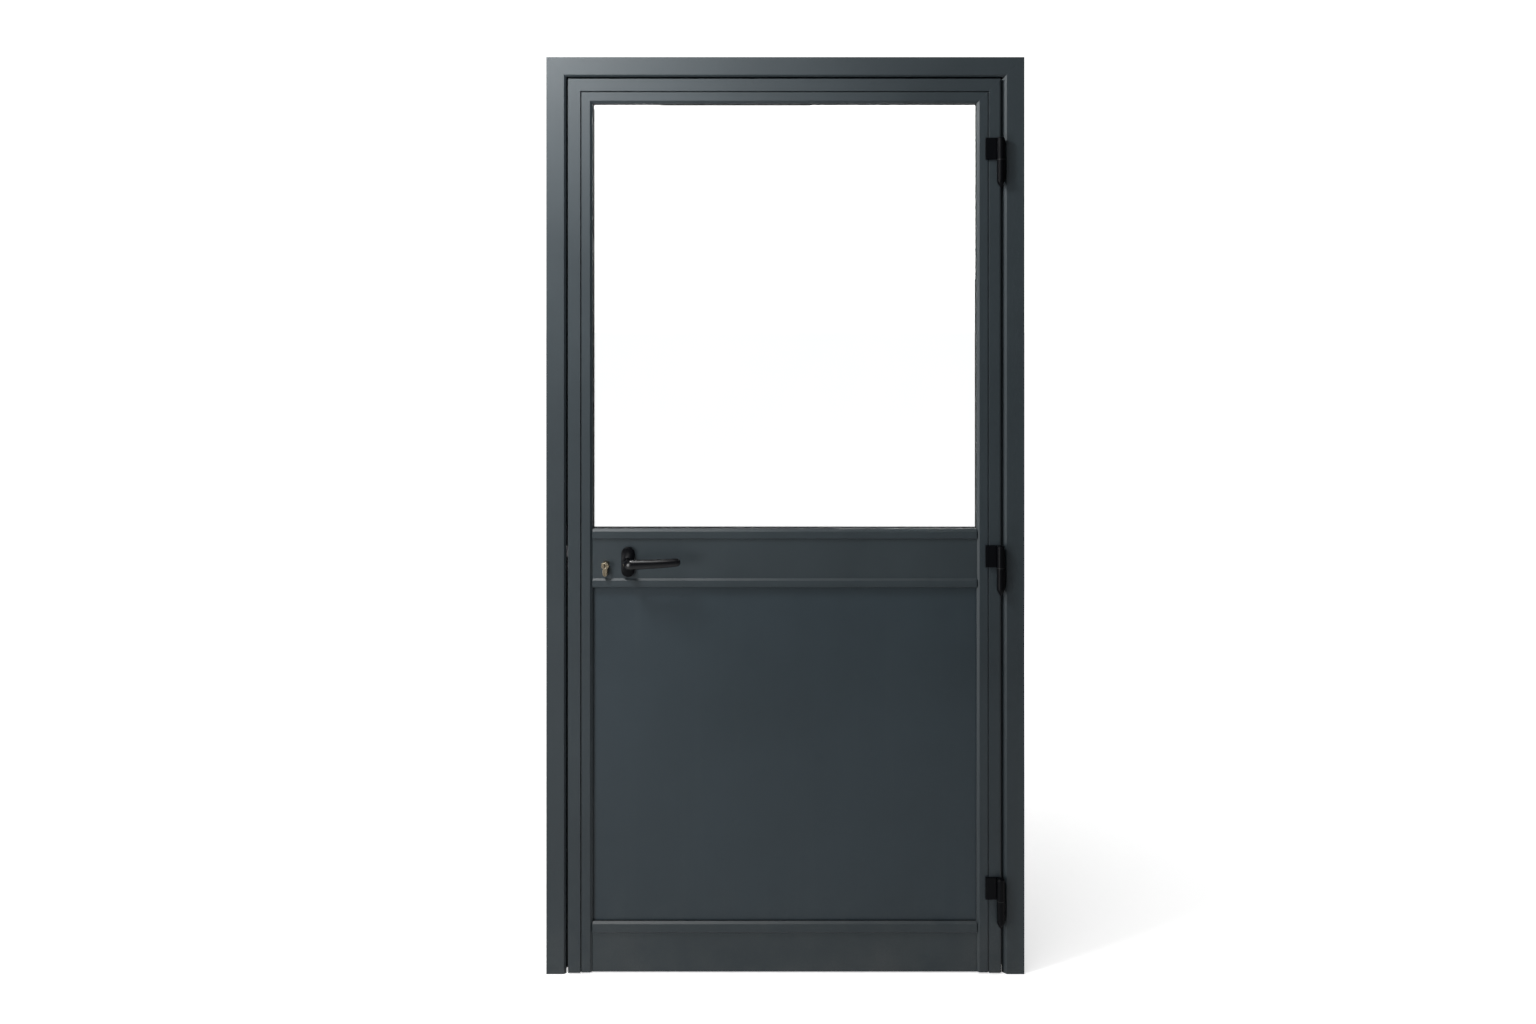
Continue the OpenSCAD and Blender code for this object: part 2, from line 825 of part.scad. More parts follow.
module leaf_cleats() {
    inset = side_groove_deep + leaf_wall + 0.3;
    leg_w = rebate_u - leaf_wall - inset - 0.3;
    mirror_x = leaf_x0 + leaf_x1;
    color(steel) {
        corner_angle(leaf_x0, leaf_z1, inset, leg_w, 100, glazing_depth - 1, leaf_d - leaf_wall - 0.3);
        translate([mirror_x, 0, 0]) mirror([1, 0, 0])
            corner_angle(leaf_x0, leaf_z1, inset, leg_w, 100, glazing_depth - 1, leaf_d - leaf_wall - 0.3);
    }
}

// Bars inside the rails' ends that carry the rails on the stiles
module connector_bar(x0, z) {
    slab(x0, x0 + 60, glazing_depth + 2, leaf_d - leaf_wall - 0.3, z, z + 12);
}

module rail_connectors() {
    x0 = leaf_x0 + rebate_u;
    x1 = leaf_x1 - rebate_u - 60;
    mid_foot = mid_z0 + rebate_h + leaf_wall + 0.3;
    mid_top = mid_z1 - rebate_h - leaf_wall - 0.3 - 12;
    low_foot = leaf_z0 + 10 + leaf_wall + 0.3;
    low_top = bottom_z1 - rebate_h - leaf_wall - 0.3 - 12;
    color(steel) {
        connector_bar(x0, mid_top);
        connector_bar(x1, mid_top);
        connector_bar(x1, mid_foot);
        for (x = [x0, x1], z = [low_foot, low_top])
            connector_bar(x, z);
    }
}

module outer_pane() {
    color("#cfe3df", 0.3)
        slab(infill_x0, infill_x1, infill_front, infill_front + pane_t, glass_z0, glass_z1);
}

module inner_pane() {
    color("#cfe3df", 0.3)
        slab(infill_x0, infill_x1, infill_back - pane_t, infill_back, glass_z0, glass_z1);
}

// A flat ring between an outer outline and the same outline moved in by a width
module ring(x0, x1, z0, z1, width, d0, d1) {
    difference() {
        slab(x0, x1, d0, d1, z0, z1);
        slab(x0 + width, x1 - width, d0 - over, d1 + over, z0 + width, z1 - width);
    }
}

module pane_spacer() {
    in = 4;
    color(steel)
        ring(infill_x0 + in, infill_x1 - in, glass_z0 + in, glass_z1 - in, 7,
            infill_front + pane_t, infill_back - pane_t);
}

module glazing_gasket(z0, z1, d0) {
    cover = 9.5;
    x0 = opening_x0 - cover - 0.5;
    x1 = opening_x1 + cover + 0.5;
    color(rubber)
        ring(x0, x1, z0 - cover - 0.5, z1 + cover + 0.5, cover, d0, d0 + gasket_t);
}

module glass_front_gasket() {
    glazing_gasket(mid_z1, leaf_z1 - leaf_face, glazing_depth);
}

module glass_back_gasket() {
    glazing_gasket(mid_z1, leaf_z1 - leaf_face, infill_back);
}

module panel_front_gasket() {
    glazing_gasket(bottom_z1, mid_z0, glazing_depth);
}

module panel_back_gasket() {
    glazing_gasket(bottom_z1, mid_z0, infill_back);
}

module level_beads() {
    x0 = leaf_x0 + rebate_u;
    x1 = leaf_x1 - rebate_u;
    floors = [mid_z1 - rebate_h, bottom_z1 - rebate_h];
    roofs = [leaf_z1 - rebate_u, mid_z0 + rebate_h];
    color(powder) {
        for (z = floors)
            along_x(x0, x1)
                translate([0, z]) mirror([1, -1]) bead_section();
        for (z = roofs)
            along_x(x0, x1)
                on_head(z) bead_section();
    }
}

module side_beads(z0, z1) {
    color(powder) {
        along_z(z0, z1) on_left(leaf_x0 + rebate_u) bead_section();
        along_z(z0, z1) on_right(leaf_x1 - rebate_u) bead_section();
    }
}

module glass_side_beads() {
    side_beads(mid_z1, leaf_z1 - leaf_face);
}

module panel_side_beads() {
    side_beads(bottom_z1, mid_z0);
}

module setting_blocks() {
    block_len = 100;
    quarter = (infill_x1 - infill_x0) / 4;
    color("#3b6ea5")
        for (foot = [mid_z1 - rebate_h, bottom_z1 - rebate_h], side = [-1, 1]) {
            mid = (infill_x0 + infill_x1) / 2 + side * quarter;
            slab(mid - block_len / 2, mid + block_len / 2, infill_front, infill_back, foot, foot + edge_room);
        }
}

module panel_front_skin() {
    color(powder)
        slab(infill_x0, infill_x1, infill_front, infill_front + skin_t, panel_z0, panel_z1);
}

module panel_core() {
    color("#c9c2a8")
        slab(infill_x0, infill_x1, infill_front + skin_t, infill_back - skin_t, panel_z0, panel_z1);
}

module panel_back_skin() {
    color(powder)
        slab(infill_x0, infill_x1, infill_back - skin_t, infill_back, panel_z0, panel_z1);
}

module bottom_seal() {
    color(rubber)
        along_x(leaf_x0 + leaf_face, leaf_x1 - leaf_face)
            polygon([
                [bolt_depth - 3.9, leaf_z0 + 9.8], [bolt_depth - 3.9, leaf_z0],
                [bolt_depth - 1, leaf_z0], [bolt_depth - 0.6, leaf_z0 - 3.5],
                [bolt_depth + 0.6, leaf_z0 - 3.5], [bolt_depth + 1, leaf_z0],
                [bolt_depth + 3.9, leaf_z0], [bolt_depth + 3.9, leaf_z0 + 9.8]
            ]);
}

// ---- Lock ----------------------------------------------------------------

module case_openings() {
    along_y(bolt_depth - case_half - over, bolt_depth + case_half + over) cylinder_profile(0.2);
    bar_y(spindle_x, spindle_z, follower_hub_r + running,
        bolt_depth - case_half - over, bolt_depth + case_half + over);
    for (off = [-rosette_screw_off, rosette_screw_off])
        bar_y(spindle_x, spindle_z + off, rosette_screw_r + 0.5,
            bolt_depth - case_half - over, bolt_depth + case_half + over);
}

module lock_case() {
    x0 = lock_x + side_groove_deep;
    x1 = lock_x + case_end;
    d0 = bolt_depth - case_half;
    d1 = bolt_depth + case_half - case_wall;
    stop_x = lock_x + spring_end;
    color(zinc)
        difference() {
            union() {
                difference() {
                    slab(x0, x1, d0, d1, case_z0, case_z1);
                    slab(x0 + case_wall, x1 - case_wall, d0 + case_wall, d1 + over,
                        case_z0 + case_wall, case_z1 - case_wall);
                }
                slab(stop_x, stop_x + 3, d0 + 1, d1, tail_z1 + 1, latch_bar_z0 - 1);
            }
            slab(x0 - over, x0 + case_wall + over, bolt_depth - latch_half - 0.3,
                d1 + over, latch_z0 - 0.5, latch_z1 + 0.5);
            slab(x0 - over, x0 + case_wall + over, bolt_depth - latch_half - 0.3,
                d1 + over, bolt_z0 - 0.5, bolt_z1 + 0.5);
            bar_x(x0 - over, x0 + case_wall + over, bolt_depth, cylinder_screw_z, cylinder_screw_r + 0.2);
            case_openings();
        }
}

module lock_cover() {
    d1 = bolt_depth + case_half;
    color(zinc)
        difference() {
            slab(lock_x + side_groove_deep, lock_x + case_end, d1 - case_wall, d1, case_z0, case_z1);
            case_openings();
        }
}

module lock_faceplate() {
    x1 = lock_x + side_groove_deep;
    color(steel)
        difference() {
            slab(lock_x, x1, bolt_depth - plate_half, bolt_depth + plate_half, plate_z0, plate_z1);
            slab(lock_x - over, x1 + over, bolt_depth - latch_half - 0.3, bolt_depth + latch_half + 0.3,
                latch_z0 - 0.5, latch_z1 + 0.5);
            slab(lock_x - over, x1 + over, bolt_depth - latch_half - 0.3, bolt_depth + latch_half + 0.3,
                bolt_z0 - 0.5, bolt_z1 + 0.5);
            for (z = plate_screw_zs)
                translate([lock_x, front_y + bolt_depth, z])
                    sunk_screw(plate_screw_head_r, plate_screw_r, side_groove_deep + over);
            translate([lock_x, front_y + bolt_depth, cylinder_screw_z])
                sunk_screw(cylinder_screw_head_r, cylinder_screw_r, side_groove_deep + over);
        }
}

module faceplate_screws() {
    color(zinc)
        for (z = plate_screw_zs)
            translate([lock_x, front_y + bolt_depth, z])
                sunk_screw(plate_screw_head_r, plate_screw_r, plate_screw_len);
}

// A wire ring of points swept along a helix, closed at both ends
function helix_ring(a, pitch, r, wire, sides) =
    [for (i = [0 : sides - 1])
        let (t = 360 * i / sides, rad = r + wire * cos(t))
        [a / 360 * pitch + wire * sin(t), rad * cos(a), rad * sin(a)]];

module latch_spring() {
    sides = 8;
    per_turn = 14;
    turns = 7;
    rings = turns * per_turn;
    length = spring_end - latch_head_back - 2 * spring_wire - 0.4;
    pitch = length / turns;
    points = [for (k = [0 : rings]) each helix_ring(k * 360 / per_turn, pitch, spring_r, spring_wire, sides)];
    walls = [for (k = [0 : rings - 1], i = [0 : sides - 1])
        let (a = k * sides + i, b = k * sides + (i + 1) % sides)
        [a, b, b + sides, a + sides]];
    ends = [[for (i = [sides - 1 : -1 : 0]) i], [for (i = [0 : sides - 1]) rings * sides + i]];
    color(steel)
        translate([lock_x + latch_head_back + spring_wire + 0.2, front_y + bolt_depth, spring_z])
            polyhedron(points = points, faces = concat(walls, ends));
}

module latch_bolt() {
    x0 = lock_x - latch_out;
    x1 = lock_x + latch_head_back;
    bevel = 9;
    color(steel) {
        translate([0, 0, latch_z0])
            linear_extrude(height = latch_z1 - latch_z0)
                translate([0, front_y + bolt_depth])
                    polygon([
                        [x0, -latch_half], [x1, -latch_half], [x1, latch_half],
                        [x0 + latch_out - 1, latch_half], [x0, latch_half - bevel]
                    ]);
        slab(x1 - 1, spindle_x + 9, bolt_depth - bar_half, bolt_depth + bar_half, latch_bar_z0, latch_bar_z1);
        slab(spindle_x + arm_half + arm_room, spindle_x + 9, bolt_depth - bar_half, bolt_depth + bar_half,
            spindle_z + 12, latch_bar_z1);
    }
}

module deadbolt() {
    notch0 = cylinder_x + bolt_throw / 2 - notch_half;
    notch1 = cylinder_x + bolt_throw / 2 + notch_half;
    riser = 6;
    x1 = lock_x + bolt_back;
    color(steel) {
        slab(lock_x + 0.3, x1, bolt_depth - latch_half, bolt_depth + latch_half, bolt_z0, bolt_z1);
        slab(x1 - riser, x1, bolt_depth - bar_half, bolt_depth + bar_half, bolt_z1 - 1, tail_z1);
        slab(x1 - riser, notch1 + tooth_w, bolt_depth - bar_half, bolt_depth + bar_half, tail_z0, tail_z1);
        for (x = [notch0 - tooth_w, notch1])
            slab(x, x + tooth_w, bolt_depth - bar_half, bolt_depth + bar_half, tooth_z0, tail_z1);
    }
}

module cylinder_body() {
    d0 = bolt_depth - cylinder_len / 2;
    d1 = bolt_depth + cylinder_len / 2;
    color(brass)
        difference() {
            along_y(d0, d1) cylinder_profile(0);
            bar_y(cylinder_x, cylinder_z, plug_r + running, d0 - over, d1 + over);
            slab(cylinder_x - 2 * profile_r, cylinder_x + 2 * profile_r, bolt_depth - 5, bolt_depth + 5,
                cylinder_z - cam_r - 0.5, cylinder_z + 2 * profile_r);
            bar_x(cylinder_x - 2 * profile_w, cylinder_x + 1, bolt_depth, cylinder_screw_z, cylinder_screw_r);
        }
}

module cylinder_screw() {
    color(zinc)
        translate([lock_x, front_y + bolt_depth, cylinder_screw_z])
            sunk_screw(cylinder_screw_head_r, cylinder_screw_r, cylinder_u + 1);
}

module keyway(d0, d1) {
    slab(cylinder_x - 1.1, cylinder_x + 1.1, d0, d1, cylinder_z - 4.5, cylinder_z + 4);
}

module cylinder_plug() {
    d0 = bolt_depth - cylinder_len / 2;
    d1 = bolt_depth + cylinder_len / 2;
    color(brass)
        difference() {
            bar_y(cylinder_x, cylinder_z, plug_r, d0, d1);
            keyway(d0 - over, d0 + 18);
            keyway(d1 - 18, d1 + over);
        }
}

module cylinder_cam() {
    d0 = bolt_depth - cam_half_t;
    d1 = bolt_depth + cam_half_t;
    color(steel)
        difference() {
            union() {
                bar_y(cylinder_x, cylinder_z, profile_r, d0, d1);
                intersection() {
                    bar_y(cylinder_x, cylinder_z, cam_r, d0, d1);
                    slab(cylinder_x - cam_half_w, cylinder_x + cam_half_w, d0, d1,
                        cylinder_z - cam_r - over, cylinder_z);
                }
            }
            bar_y(cylinder_x, cylinder_z, plug_r, d0 - over, d1 + over);
        }
}

// ---- Handle --------------------------------------------------------------

module follower() {
    d0 = bolt_depth - case_half;
    d1 = bolt_depth + case_half;
    side = spindle_side + spindle_room;
    color(zinc)
        difference() {
            union() {
                bar_y(spindle_x, spindle_z, follower_hub_r, d0, d1);
                bar_y(spindle_x, spindle_z, follower_r, bolt_depth - 6.5, bolt_depth + 6.5);
                slab(spindle_x - arm_half, spindle_x + arm_half, bolt_depth - bar_half, bolt_depth + bar_half,
                    spindle_z, spindle_z + arm_len);
            }
            slab(spindle_x - side / 2, spindle_x + side / 2, d0 - over, d1 + over,
                spindle_z - side / 2, spindle_z + side / 2);
        }
}

module spindle() {
    reach = lever_socket - 0.5;
    color(steel)
        slab(spindle_x - spindle_side / 2, spindle_x + spindle_side / 2, rail_set - reach, leaf_d + reach,
            spindle_z - spindle_side / 2, spindle_z + spindle_side / 2);
}

// Round bar with half-ball ends, its first ball at the origin
module capsule(r, len) {
    rotate_extrude()
        intersection() {
            union() {
                circle(r = r);
                square([r, len]);
                translate([0, len]) circle(r = r);
            }
            translate([0, -r]) square([r, len + 2 * r]);
        }
}

// Lever drawn for a face at depth 0 with its grip at a distance before it
module lever_shape() {
    grip = lever_out - grip_r;
    side = spindle_side + spindle_room;
    difference() {
        union() {
            translate([0, -neck_foot, 0])
                rotate([90, 0, 0]) cylinder(r = neck_r, h = grip - neck_foot);
            translate([0, -grip, 0])
                rotate([0, 90 - lever_rise, 0]) capsule(grip_r, lever_reach - grip_r);
        }
        translate([-side / 2, -lever_socket, -side / 2])
            cube([side, lever_socket, side]);
        translate([0, -24, -neck_r - over])
            cylinder(r = 2.5, h = neck_r);
    }
}

module front_lever() {
    color(black)
        translate([spindle_x, front_y + rail_set, spindle_z]) lever_shape();
}

module back_lever() {
    color(black)
        translate([spindle_x, front_y + leaf_d, spindle_z])
            mirror([0, 1, 0]) lever_shape();
}

module grub_screws() {
    head_gap = 0.6;
    top = spindle_side / 2 + spindle_room;
    color(zinc)
        for (y = [front_y + rail_set - 24, front_y + leaf_d + 24])
            translate([spindle_x, y, spindle_z - neck_r + head_gap])
                cylinder(r = 2.5, h = neck_r - head_gap - top);
}

// Rosette drawn from the face it seats on, out to its full thickness
module rosette_shape(face, out) {
    step = 1.2;
    d0 = min(face, face + out * (rosette_t - step));
    d1 = max(face, face + out * (rosette_t - step));
    e0 = min(face, face + out * rosette_t);
    e1 = max(face, face + out * rosette_t);
    difference() {
        union() {
            along_y(d0, d1) rosette_outline(0);
            along_y(e0, e1) rosette_outline(step);
        }
        bar_y(spindle_x, spindle_z, neck_r + neck_room, e0 - over, e1 + over);
        children();
    }
}

module front_rosette() {
    color(black)
        rosette_shape(rail_set, -1)
            for (off = [-rosette_screw_off, rosette_screw_off])
                bar_y(spindle_x, spindle_z + off, rosette_screw_r, rail_set - rosette_t + 3, rail_set + over);
}

module back_rosette() {
    color(black)
        rosette_shape(leaf_d, 1)
            for (off = [-rosette_screw_off, rosette_screw_off]) {
                bar_y(spindle_x, spindle_z + off, rosette_screw_r, leaf_d - over, leaf_d + rosette_t + over);
                bar_y(spindle_x, spindle_z + off, 3.6, leaf_d + rosette_t - 3, leaf_d + rosette_t + over);
            }
}

module rosette_screws() {
    color(zinc)
        for (off = [-rosette_screw_off, rosette_screw_off])
            difference() {
                union() {
                    bar_y(spindle_x, spindle_z + off, rosette_screw_r, rail_set - rosette_t + 3,
                        leaf_d + rosette_t - 2);
                    bar_y(spindle_x, spindle_z + off, 3.5, leaf_d + rosette_t - 3, leaf_d + rosette_t - 0.5);
                }
                slab(spindle_x - 3, spindle_x + 3, leaf_d + rosette_t - 1.5, leaf_d + rosette_t + over,
                    spindle_z + off - 0.5, spindle_z + off + 0.5);
            }
}

jamb_lock();
jamb_hinge();
frame_head();
frame_cleats();
stop_gasket_lock();
stop_gasket_head();
stop_gasket_hinge();
strike_plate();
strike_screws();
frame_knuckles();
hinge_pins();
hinge_tips();
jamb_nut_plates();
jamb_hinge_screws();
stile_lock();
stile_hinge();
top_rail();
mid_rail();
bottom_rail();
leaf_cleats();
rail_connectors();
outer_pane();
inner_pane();
pane_spacer();
glass_front_gasket();
glass_back_gasket();
level_beads();
glass_side_beads();
panel_side_beads();
setting_blocks();
panel_front_skin();
panel_core();
panel_back_skin();
panel_front_gasket();
panel_back_gasket();
bottom_seal();
lock_case();
lock_cover();
lock_faceplate();
faceplate_screws();
latch_spring();
cylinder_body();
cylinder_screw();
front_rosette();
back_rosette();
rosette_screws();
leaf_flags();
flag_covers();
flag_screws();
flag_nut_plates();
hinge_bushes();
front_lever();
back_lever();
spindle();
follower();
grub_screws();
latch_bolt();
deadbolt();
cylinder_plug();
cylinder_cam();
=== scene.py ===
import math
import bmesh
import bpy
from mathutils import Matrix, Vector


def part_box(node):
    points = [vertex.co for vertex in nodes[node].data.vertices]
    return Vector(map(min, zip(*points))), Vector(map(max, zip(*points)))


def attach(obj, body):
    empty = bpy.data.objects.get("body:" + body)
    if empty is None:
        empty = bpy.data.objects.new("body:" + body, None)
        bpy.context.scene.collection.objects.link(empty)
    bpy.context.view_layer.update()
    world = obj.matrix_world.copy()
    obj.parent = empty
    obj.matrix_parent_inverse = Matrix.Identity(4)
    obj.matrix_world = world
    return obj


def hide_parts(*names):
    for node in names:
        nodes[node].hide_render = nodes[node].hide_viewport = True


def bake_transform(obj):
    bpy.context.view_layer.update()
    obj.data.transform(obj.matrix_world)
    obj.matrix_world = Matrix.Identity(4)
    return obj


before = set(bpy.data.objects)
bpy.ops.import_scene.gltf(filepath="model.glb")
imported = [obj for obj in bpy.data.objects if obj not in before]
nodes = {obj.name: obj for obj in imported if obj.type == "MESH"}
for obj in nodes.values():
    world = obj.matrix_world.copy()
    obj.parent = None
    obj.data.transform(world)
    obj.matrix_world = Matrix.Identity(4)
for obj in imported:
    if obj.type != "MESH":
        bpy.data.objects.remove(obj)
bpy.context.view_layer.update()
scene = bpy.context.scene
mm = 0.001
print("frame loaded with", len(nodes), "nodes")


def put(tree, kind, inputs=None, **props):  # adds a node, with its sockets linked or set
    node = tree.nodes.new(kind)
    for key, value in props.items():
        setattr(node, key, value)
    for key, value in (inputs or {}).items():
        if isinstance(value, bpy.types.NodeSocket):
            tree.links.new(value, node.inputs[key])
        else:
            node.inputs[key].default_value = value
    return node


def doMath(tree, operation, first, second, clamp=False):
    node = put(tree, "ShaderNodeMath", {0: first, 1: second}, operation=operation)
    node.use_clamp = clamp
    return node.outputs[0]


def blendColour(tree, factor, first, second):
    node = put(tree, "ShaderNodeMix", {0: factor, 6: first, 7: second}, data_type="RGBA")
    return node.outputs[2]


def spread(tree, value, low, high, toLow=0.0, toHigh=1.0):  # moves a value from one range to another
    node = put(tree, "ShaderNodeMapRange", {0: value, 1: low, 2: high, 3: toLow, 4: toHigh})
    return node.outputs[0]


def newGroup(name, inputs, outputs, kind="ShaderNodeTree"):
    tree = bpy.data.node_groups.new(name, kind)
    for label, socketKind, value in inputs:
        socket = tree.interface.new_socket(name=label, in_out="INPUT", socket_type=socketKind)
        if value is not None:
            socket.default_value = value
    for label, socketKind in outputs:
        tree.interface.new_socket(name=label, in_out="OUTPUT", socket_type=socketKind)
    return tree, tree.nodes.new("NodeGroupInput").outputs, tree.nodes.new("NodeGroupOutput").inputs


floatSocket, vectorSocket = "NodeSocketFloat", "NodeSocketVector"
noiseRange = (0.3, 0.7)  # where most of a noise texture's values lie
white, black = (1.0, 1.0, 1.0, 1), (0.0, 0.0, 0.0, 1)


# Shared effects, each built once

edgeLook = {"samples": 6, "match": (0.995, 0.8)}  # how far both normals agree, on a flat and on an edge


def makeSoftEdges():  # rounds the light on sharp edges, and marks where they are
    tree, given, out = newGroup("softEdges", [("Radius", floatSocket, 0.0005)],
                                [("Normal", vectorSocket), ("Edge", floatSocket)])
    bevel = put(tree, "ShaderNodeBevel", {"Radius": given["Radius"]}, samples=edgeLook["samples"])
    flat = put(tree, "ShaderNodeNewGeometry").outputs["Normal"]
    turn = put(tree, "ShaderNodeVectorMath", {0: bevel.outputs[0], 1: flat}, operation="DOT_PRODUCT")
    tree.links.new(bevel.outputs[0], out["Normal"])
    tree.links.new(spread(tree, turn.outputs["Value"], *edgeLook["match"]), out["Edge"])
    return tree


powderLook = {"fineShare": 0.7, "pitShare": 0.5, "pitScale": 0.8}


def makePowderGrain():  # the fine orange peel of a powder coat, with slow changes in its tone
    tree, given, out = newGroup("powderGrain", [("Size", floatSocket, 0.0011)],
                                [("Height", floatSocket), ("Tone", floatSocket)])
    place = put(tree, "ShaderNodeTexCoord").outputs["Object"]
    scale = doMath(tree, "DIVIDE", 1.0, given["Size"])
    fine = put(tree, "ShaderNodeTexNoise", {"Vector": place, "Scale": scale, "Detail": 2.0,
                                            "Roughness": 0.55})
    pitScale = doMath(tree, "MULTIPLY", scale, powderLook["pitScale"])
    pits = put(tree, "ShaderNodeTexVoronoi", {"Vector": place, "Scale": pitScale}, feature="SMOOTH_F1")
    slow = put(tree, "ShaderNodeTexNoise", {"Vector": place, "Scale": 2.3, "Detail": 4.0, "Roughness": 0.6})
    height = doMath(tree, "ADD", doMath(tree, "MULTIPLY", fine.outputs[0], powderLook["fineShare"]),
                    doMath(tree, "MULTIPLY", pits.outputs["Distance"], powderLook["pitShare"]))
    tree.links.new(height, out["Height"])
    tree.links.new(spread(tree, slow.outputs[0], *noiseRange), out["Tone"])
    return tree


dustLook = {"ledgeUp": (0.3, 0.9), "ledgeMost": 0.8, "patchRange": (0.38, 0.72), "speckRange": (0.35, 0.65),
            "speckLeast": 0.4, "streakPull": 0.03, "streakRange": (0.55, 0.75)}


def makeSettledDust():  # dust towards the floor and on faces that look up, and faint runs of dried rain
    tree, given, out = newGroup("settledDust",
                                [("Reach", floatSocket, 0.5), ("Streak Width", floatSocket, 0.02)],
                                [("Dust", floatSocket), ("Streaks", floatSocket)])
    place = put(tree, "ShaderNodeTexCoord").outputs["Object"]
    height = put(tree, "ShaderNodeSeparateXYZ", {0: place}).outputs[2]
    low = spread(tree, doMath(tree, "DIVIDE", height, given["Reach"]), 1.0, 0.0)
    patch = put(tree, "ShaderNodeTexNoise", {"Vector": place, "Scale": 7.0, "Detail": 6.0, "Roughness": 0.65})
    speck = put(tree, "ShaderNodeTexNoise", {"Vector": place, "Scale": 420.0, "Detail": 2.0})
    normal = put(tree, "ShaderNodeNewGeometry").outputs["Normal"]
    up = put(tree, "ShaderNodeSeparateXYZ", {0: normal}).outputs[2]
    ledge = spread(tree, up, *dustLook["ledgeUp"], 0.0, dustLook["ledgeMost"])
    base = doMath(tree, "ADD", doMath(tree, "MULTIPLY", low, low), ledge)
    grain = doMath(tree, "MULTIPLY", spread(tree, patch.outputs[0], *dustLook["patchRange"]),
                   spread(tree, speck.outputs[0], *dustLook["speckRange"], dustLook["speckLeast"], 1.0))
    tree.links.new(doMath(tree, "MULTIPLY", base, grain, clamp=True), out["Dust"])
    across = doMath(tree, "DIVIDE", 1.0, given["Streak Width"])
    along = doMath(tree, "MULTIPLY", across, dustLook["streakPull"])
    stretch = put(tree, "ShaderNodeCombineXYZ", {0: across, 1: across, 2: along})
    runs = put(tree, "ShaderNodeVectorMath", {0: place, 1: stretch.outputs[0]}, operation="MULTIPLY")
    streak = put(tree, "ShaderNodeTexNoise", {"Vector": runs.outputs[0], "Scale": 1.0, "Detail": 3.0})
    tree.links.new(spread(tree, streak.outputs[0], *dustLook["streakRange"]), out["Streaks"])
    return tree


def makeDrawnGrain():  # fine lines left by drawing, turning or brushing along one direction
    tree, given, out = newGroup("drawnGrain", [("Stretch", vectorSocket, (2500.0, 60.0, 60.0))],
                                [("Height", floatSocket), ("Tone", floatSocket)])
    place = put(tree, "ShaderNodeTexCoord").outputs["Object"]
    pulled = put(tree, "ShaderNodeVectorMath", {0: place, 1: given["Stretch"]}, operation="MULTIPLY")
    lines = put(tree, "ShaderNodeTexNoise", {"Vector": pulled.outputs[0], "Scale": 1.0, "Detail": 3.0})
    cloud = put(tree, "ShaderNodeTexNoise", {"Vector": place, "Scale": 90.0, "Detail": 4.0})
    tree.links.new(lines.outputs[0], out["Height"])
    tree.links.new(cloud.outputs[0], out["Tone"])
    return tree


softEdges, powderGrain = makeSoftEdges(), makePowderGrain()
settledDust, drawnGrain = makeSettledDust(), makeDrawnGrain()


def startMaterial(name):
    material = bpy.data.materials.new(name)
    material.use_nodes = True
    tree = material.node_tree
    return material, tree, tree.nodes["Principled BSDF"]


def effect(tree, group, **values):
    node = put(tree, "ShaderNodeGroup", node_tree=group)
    for label, value in values.items():
        node.inputs[label].default_value = value
    return node.outputs


coatLook = {"roughSpan": 0.04, "dustDulls": 0.5, "dustColour": (0.30, 0.28, 0.25, 1), "bumpDepth": 0.00015}


def coatedMetal(name, paint):  # powder coat or satin lacquer over metal
    material, tree, surface = startMaterial(name)
    edges = effect(tree, softEdges, Radius=paint["edge"])
    grain = effect(tree, powderGrain, Size=paint["grain"])
    dirt = effect(tree, settledDust, Reach=paint["dustReach"])
    base = blendColour(tree, grain["Tone"], paint["dark"], paint["light"])
    worn = blendColour(tree, doMath(tree, "MULTIPLY", edges["Edge"], paint["wear"]), base, paint["rubbed"])
    dust = doMath(tree, "MULTIPLY", dirt["Dust"], paint["dust"])
    streaks = doMath(tree, "MULTIPLY", dirt["Streaks"], paint["streaks"])
    soiled = doMath(tree, "ADD", dust, streaks, clamp=True)
    dusty = blendColour(tree, soiled, worn, coatLook["dustColour"])
    tree.links.new(dusty, surface.inputs["Base Color"])
    span = coatLook["roughSpan"]
    sheen = spread(tree, grain["Tone"], 0.0, 1.0, paint["rough"] - span, paint["rough"] + span)
    dulled = doMath(tree, "MULTIPLY", dust, coatLook["dustDulls"])
    tree.links.new(doMath(tree, "ADD", sheen, dulled, clamp=True), surface.inputs["Roughness"])
    bump = put(tree, "ShaderNodeBump", {"Strength": paint["bump"], "Distance": coatLook["bumpDepth"],
                                        "Height": grain["Height"], "Normal": edges["Normal"]})
    tree.links.new(bump.outputs[0], surface.inputs["Normal"])
    surface.inputs["Specular IOR Level"].default_value = paint["specular"]
    return material


bareLook = {"roughBelow": 0.06, "roughAbove": 0.08, "wear": 0.6, "bumpDepth": 0.00008}


